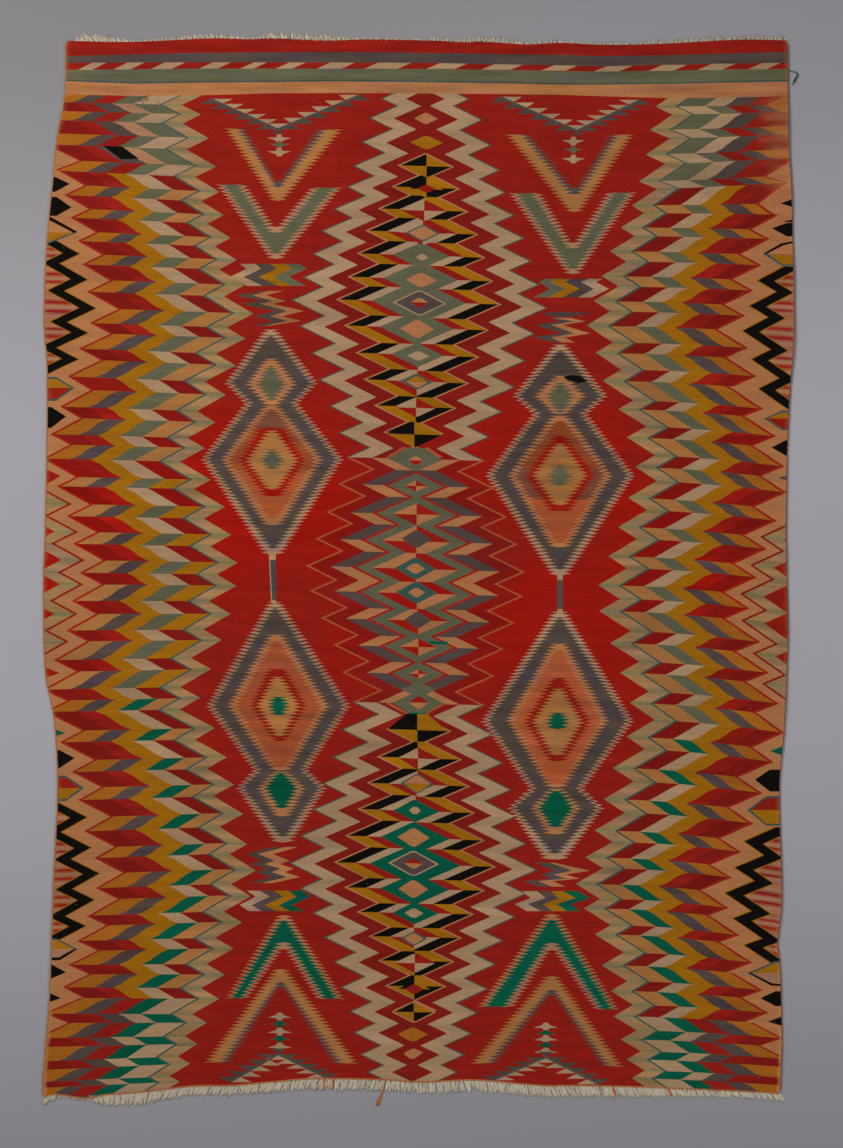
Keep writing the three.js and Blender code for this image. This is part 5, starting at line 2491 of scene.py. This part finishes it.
@dataclass
class Rug:
    """All that the eye sees of the rug.

    Attributes:
        outline: The cloth's edge.
    """

    outline: Outline

    def dress(self) -> list[bpy.types.Object]:
        """Builds every piece with its finish.

        Returns:
            The cloth, its three cords and its two fringes.
        """
        cloth = Cloth(self.outline, chart_rug()).build(WoolFinish().material())
        declare(cloth, "cloth_panel")
        cords = [self.left_cord(), self.right_cord(), self.foot_cord()]
        around = [*cords, self.head_fringe(), self.foot_fringe()]
        return [cloth, *around]

    def side_path(self, side: Side, first: float, last: float) -> np.ndarray:
        """Follows a side just outside the cloth's edge.

        Args:
            side: Which side.
            first: Where it starts along the rug, in millimetres.
            last: Where it ends.

        Returns:
            Points of the middle line, n by 3.
        """
        y = np.arange(first, last, 1.25)
        x = self.outline.side_x(side, y) + side.value * 1.1
        z = 1.7 + COCKLE.lift(x - side.value * 3.0, y)
        return np.stack([x, y, z], axis=1)

    def left_cord(self) -> bpy.types.Object:
        """Builds the pale left cord.

        Returns:
            The dressed cord.
        """
        path = self.side_path(Side.LEFT, -1050, 1050)
        cord = Cord(path, 0, (Dye.PEACH, Dye.TAN), seed=31)
        return yarn_object("left_selvedge_cord", cord.yarns().mesh(), "Pale Cord Yarn",
                           "selvedge_cord_left")

    def right_cord(self) -> bpy.types.Object:
        """Builds the teal and orange right cord with its loose end.

        Returns:
            The dressed cord.
        """
        path = self.side_path(Side.RIGHT, -1042, 1050)
        cord = Cord(path, 0, (Dye.TEAL, Dye.SALMON), twist=13.0, spread=0.55, ply=0.7, seed=32)
        return yarn_object("right_selvedge_cord", cord.yarns().joined(TEAL_TAIL.yarns()),
                           "Teal Orange Cord Yarn", "selvedge_cord_right")

    def foot_cord(self) -> bpy.types.Object:
        """Builds the orange cord across the foot.

        Returns:
            The dressed cord.
        """
        x = np.arange(-749.0, 716.0, 1.25)
        y = self.outline.end_y(-1, x) - 1.6
        path = np.stack([x, y, 1.9 + COCKLE.lift(x, y)], axis=1)
        cord = Cord(path, 1, (Dye.ORANGE, Dye.PEACH), spread=0.8, ply=1.05, seed=33)
        return yarn_object("foot_end_cord", cord.yarns().mesh(), "Orange Cord Yarn", "end_cord_foot")

    def head_fringe(self) -> bpy.types.Object:
        """Builds the short ragged warp ends of the head.

        Returns:
            The dressed fringe.
        """
        fringe = Fringe(
            self.outline, way=1, rows=HEAD_FRINGE, bundles=520, strands=3, thick=0.85, gap=-2.0,
            span=(-688, 733), bright=(0.55, 0.48, 0.36), ragged=0.2, seed=41,
        )
        return yarn_object("head_warp_fringe", fringe.yarns().mesh(), "Head Warp Cotton", "fringe_head")

    def foot_fringe(self) -> bpy.types.Object:
        """Builds the trimmed warp ends of the foot, with a long orange end and a few orange tufts.

        Returns:
            The dressed fringe.
        """
        fringe = Fringe(
            self.outline, way=-1, rows=FOOT_FRINGE, bundles=600, strands=3, thick=1.15, gap=0.5,
            span=(-748, 722), bright=(0.62, 0.54, 0.40), ragged=0.07, seed=42,
        )
        yarns = fringe.yarns()
        for x in ORANGE_TUFTS:
            near = np.abs(yarns.paths[:, 0, 0] - x) < 1.6
            yarns.dyes[near] = linear(Dye.ORANGE)
        return yarn_object("foot_warp_fringe", yarns.joined(ORANGE_TAIL.yarns()), "Foot Warp Cotton",
                           "fringe_foot")


@dataclass(frozen=True)
class Softbox:
    """One round soft light that looks at the rug's middle.

    Attributes:
        name: Its name.
        place: Where it hangs, in metres.
        size: Its width in metres.
        power: In watts.
        colour: Its colour.
    """

    name: str
    place: tuple[float, float, float]
    size: float
    power: float
    colour: Colour

    def hang(self) -> None:
        """Hangs it in the scene."""
        lamp = bpy.data.lights.new(self.name, "AREA")
        lamp.shape = "DISK"
        lamp.size = self.size
        lamp.energy = self.power
        lamp.color = self.colour
        stand = bpy.data.objects.new(self.name, lamp)
        stand.location = self.place
        stand.rotation_euler = (-Vector(self.place)).to_track_quat("-Z", "Y").to_euler()
        bpy.context.scene.collection.objects.link(stand)


@dataclass(frozen=True)
class Studio:
    """Grey paper, soft lights from the upper left and lower right, and a long lens straight above.

    Attributes:
        height: Height of the view over the rug, in metres.
        middle: The rug's place in the view's middle.
        lens: Focal length in millimetres.
        sensor: Height of the sensor in millimetres.
        sight: How far the camera sees, in metres.
        paper: Half the paper's width, in millimetres.
        ground: Its height.
        air: Colour of the light from all around.
        glow: Strength of that light.
        lights: The soft lights.
    """

    height: float = 2.296
    middle: Point = (0.0035, -0.010)
    lens: float = 120.0
    sensor: float = 36.0
    sight: float = 60.0
    paper: float = 14000.0
    ground: float = -0.4
    air: tuple[float, float, float, float] = (0.84, 0.85, 0.90, 1.0)
    glow: float = 0.34
    lights: tuple[Softbox, ...] = (
        Softbox("upper_left_softbox", (-2.3, 2.2, 3.0), 1.3, 92.0, (1.0, 0.985, 0.96)),
        Softbox("lower_right_fill", (2.6, -2.2, 3.2), 2.4, 42.0, (0.95, 0.97, 1.0)),
    )

    def build(self) -> None:
        """Sets up the paper, lights, camera and colour management."""
        scene = bpy.context.scene
        scene.view_settings.view_transform = "Standard"
        corners = ((-1, -1), (1, -1), (1, 1), (-1, 1))
        points = np.array([(x * self.paper, y * self.paper, self.ground) for x, y in corners])
        make_object("paper_floor", points, [[0, 1, 2, 3]], PaperFinish().material())
        world = bpy.data.worlds.new("studio_air")
        world.use_nodes = True
        world.node_tree.nodes["Background"].inputs[0].default_value = self.air
        world.node_tree.nodes["Background"].inputs[1].default_value = self.glow
        scene.world = world
        for light in self.lights:
            light.hang()
        camera = bpy.data.cameras.new("copy_camera")
        camera.lens = self.lens
        camera.sensor_width = self.sensor
        camera.clip_end = self.sight
        stand = bpy.data.objects.new("copy_camera", camera)
        stand.location = (*self.middle, self.height / 2.0 / (self.sensor / 2.0 / self.lens))
        scene.collection.objects.link(stand)
        scene.camera = stand


def main() -> None:
    """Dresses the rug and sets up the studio."""
    logging.basicConfig(level=logging.INFO, format="%(name)s: %(message)s")
    pieces = Rug(Outline.packed("cloth_panel")).dress()
    for piece in pieces:
        LOG.info("%s: %d faces", piece.name, len(piece.data.polygons))
    Studio().build()


if __name__ == "__main__":
    main()
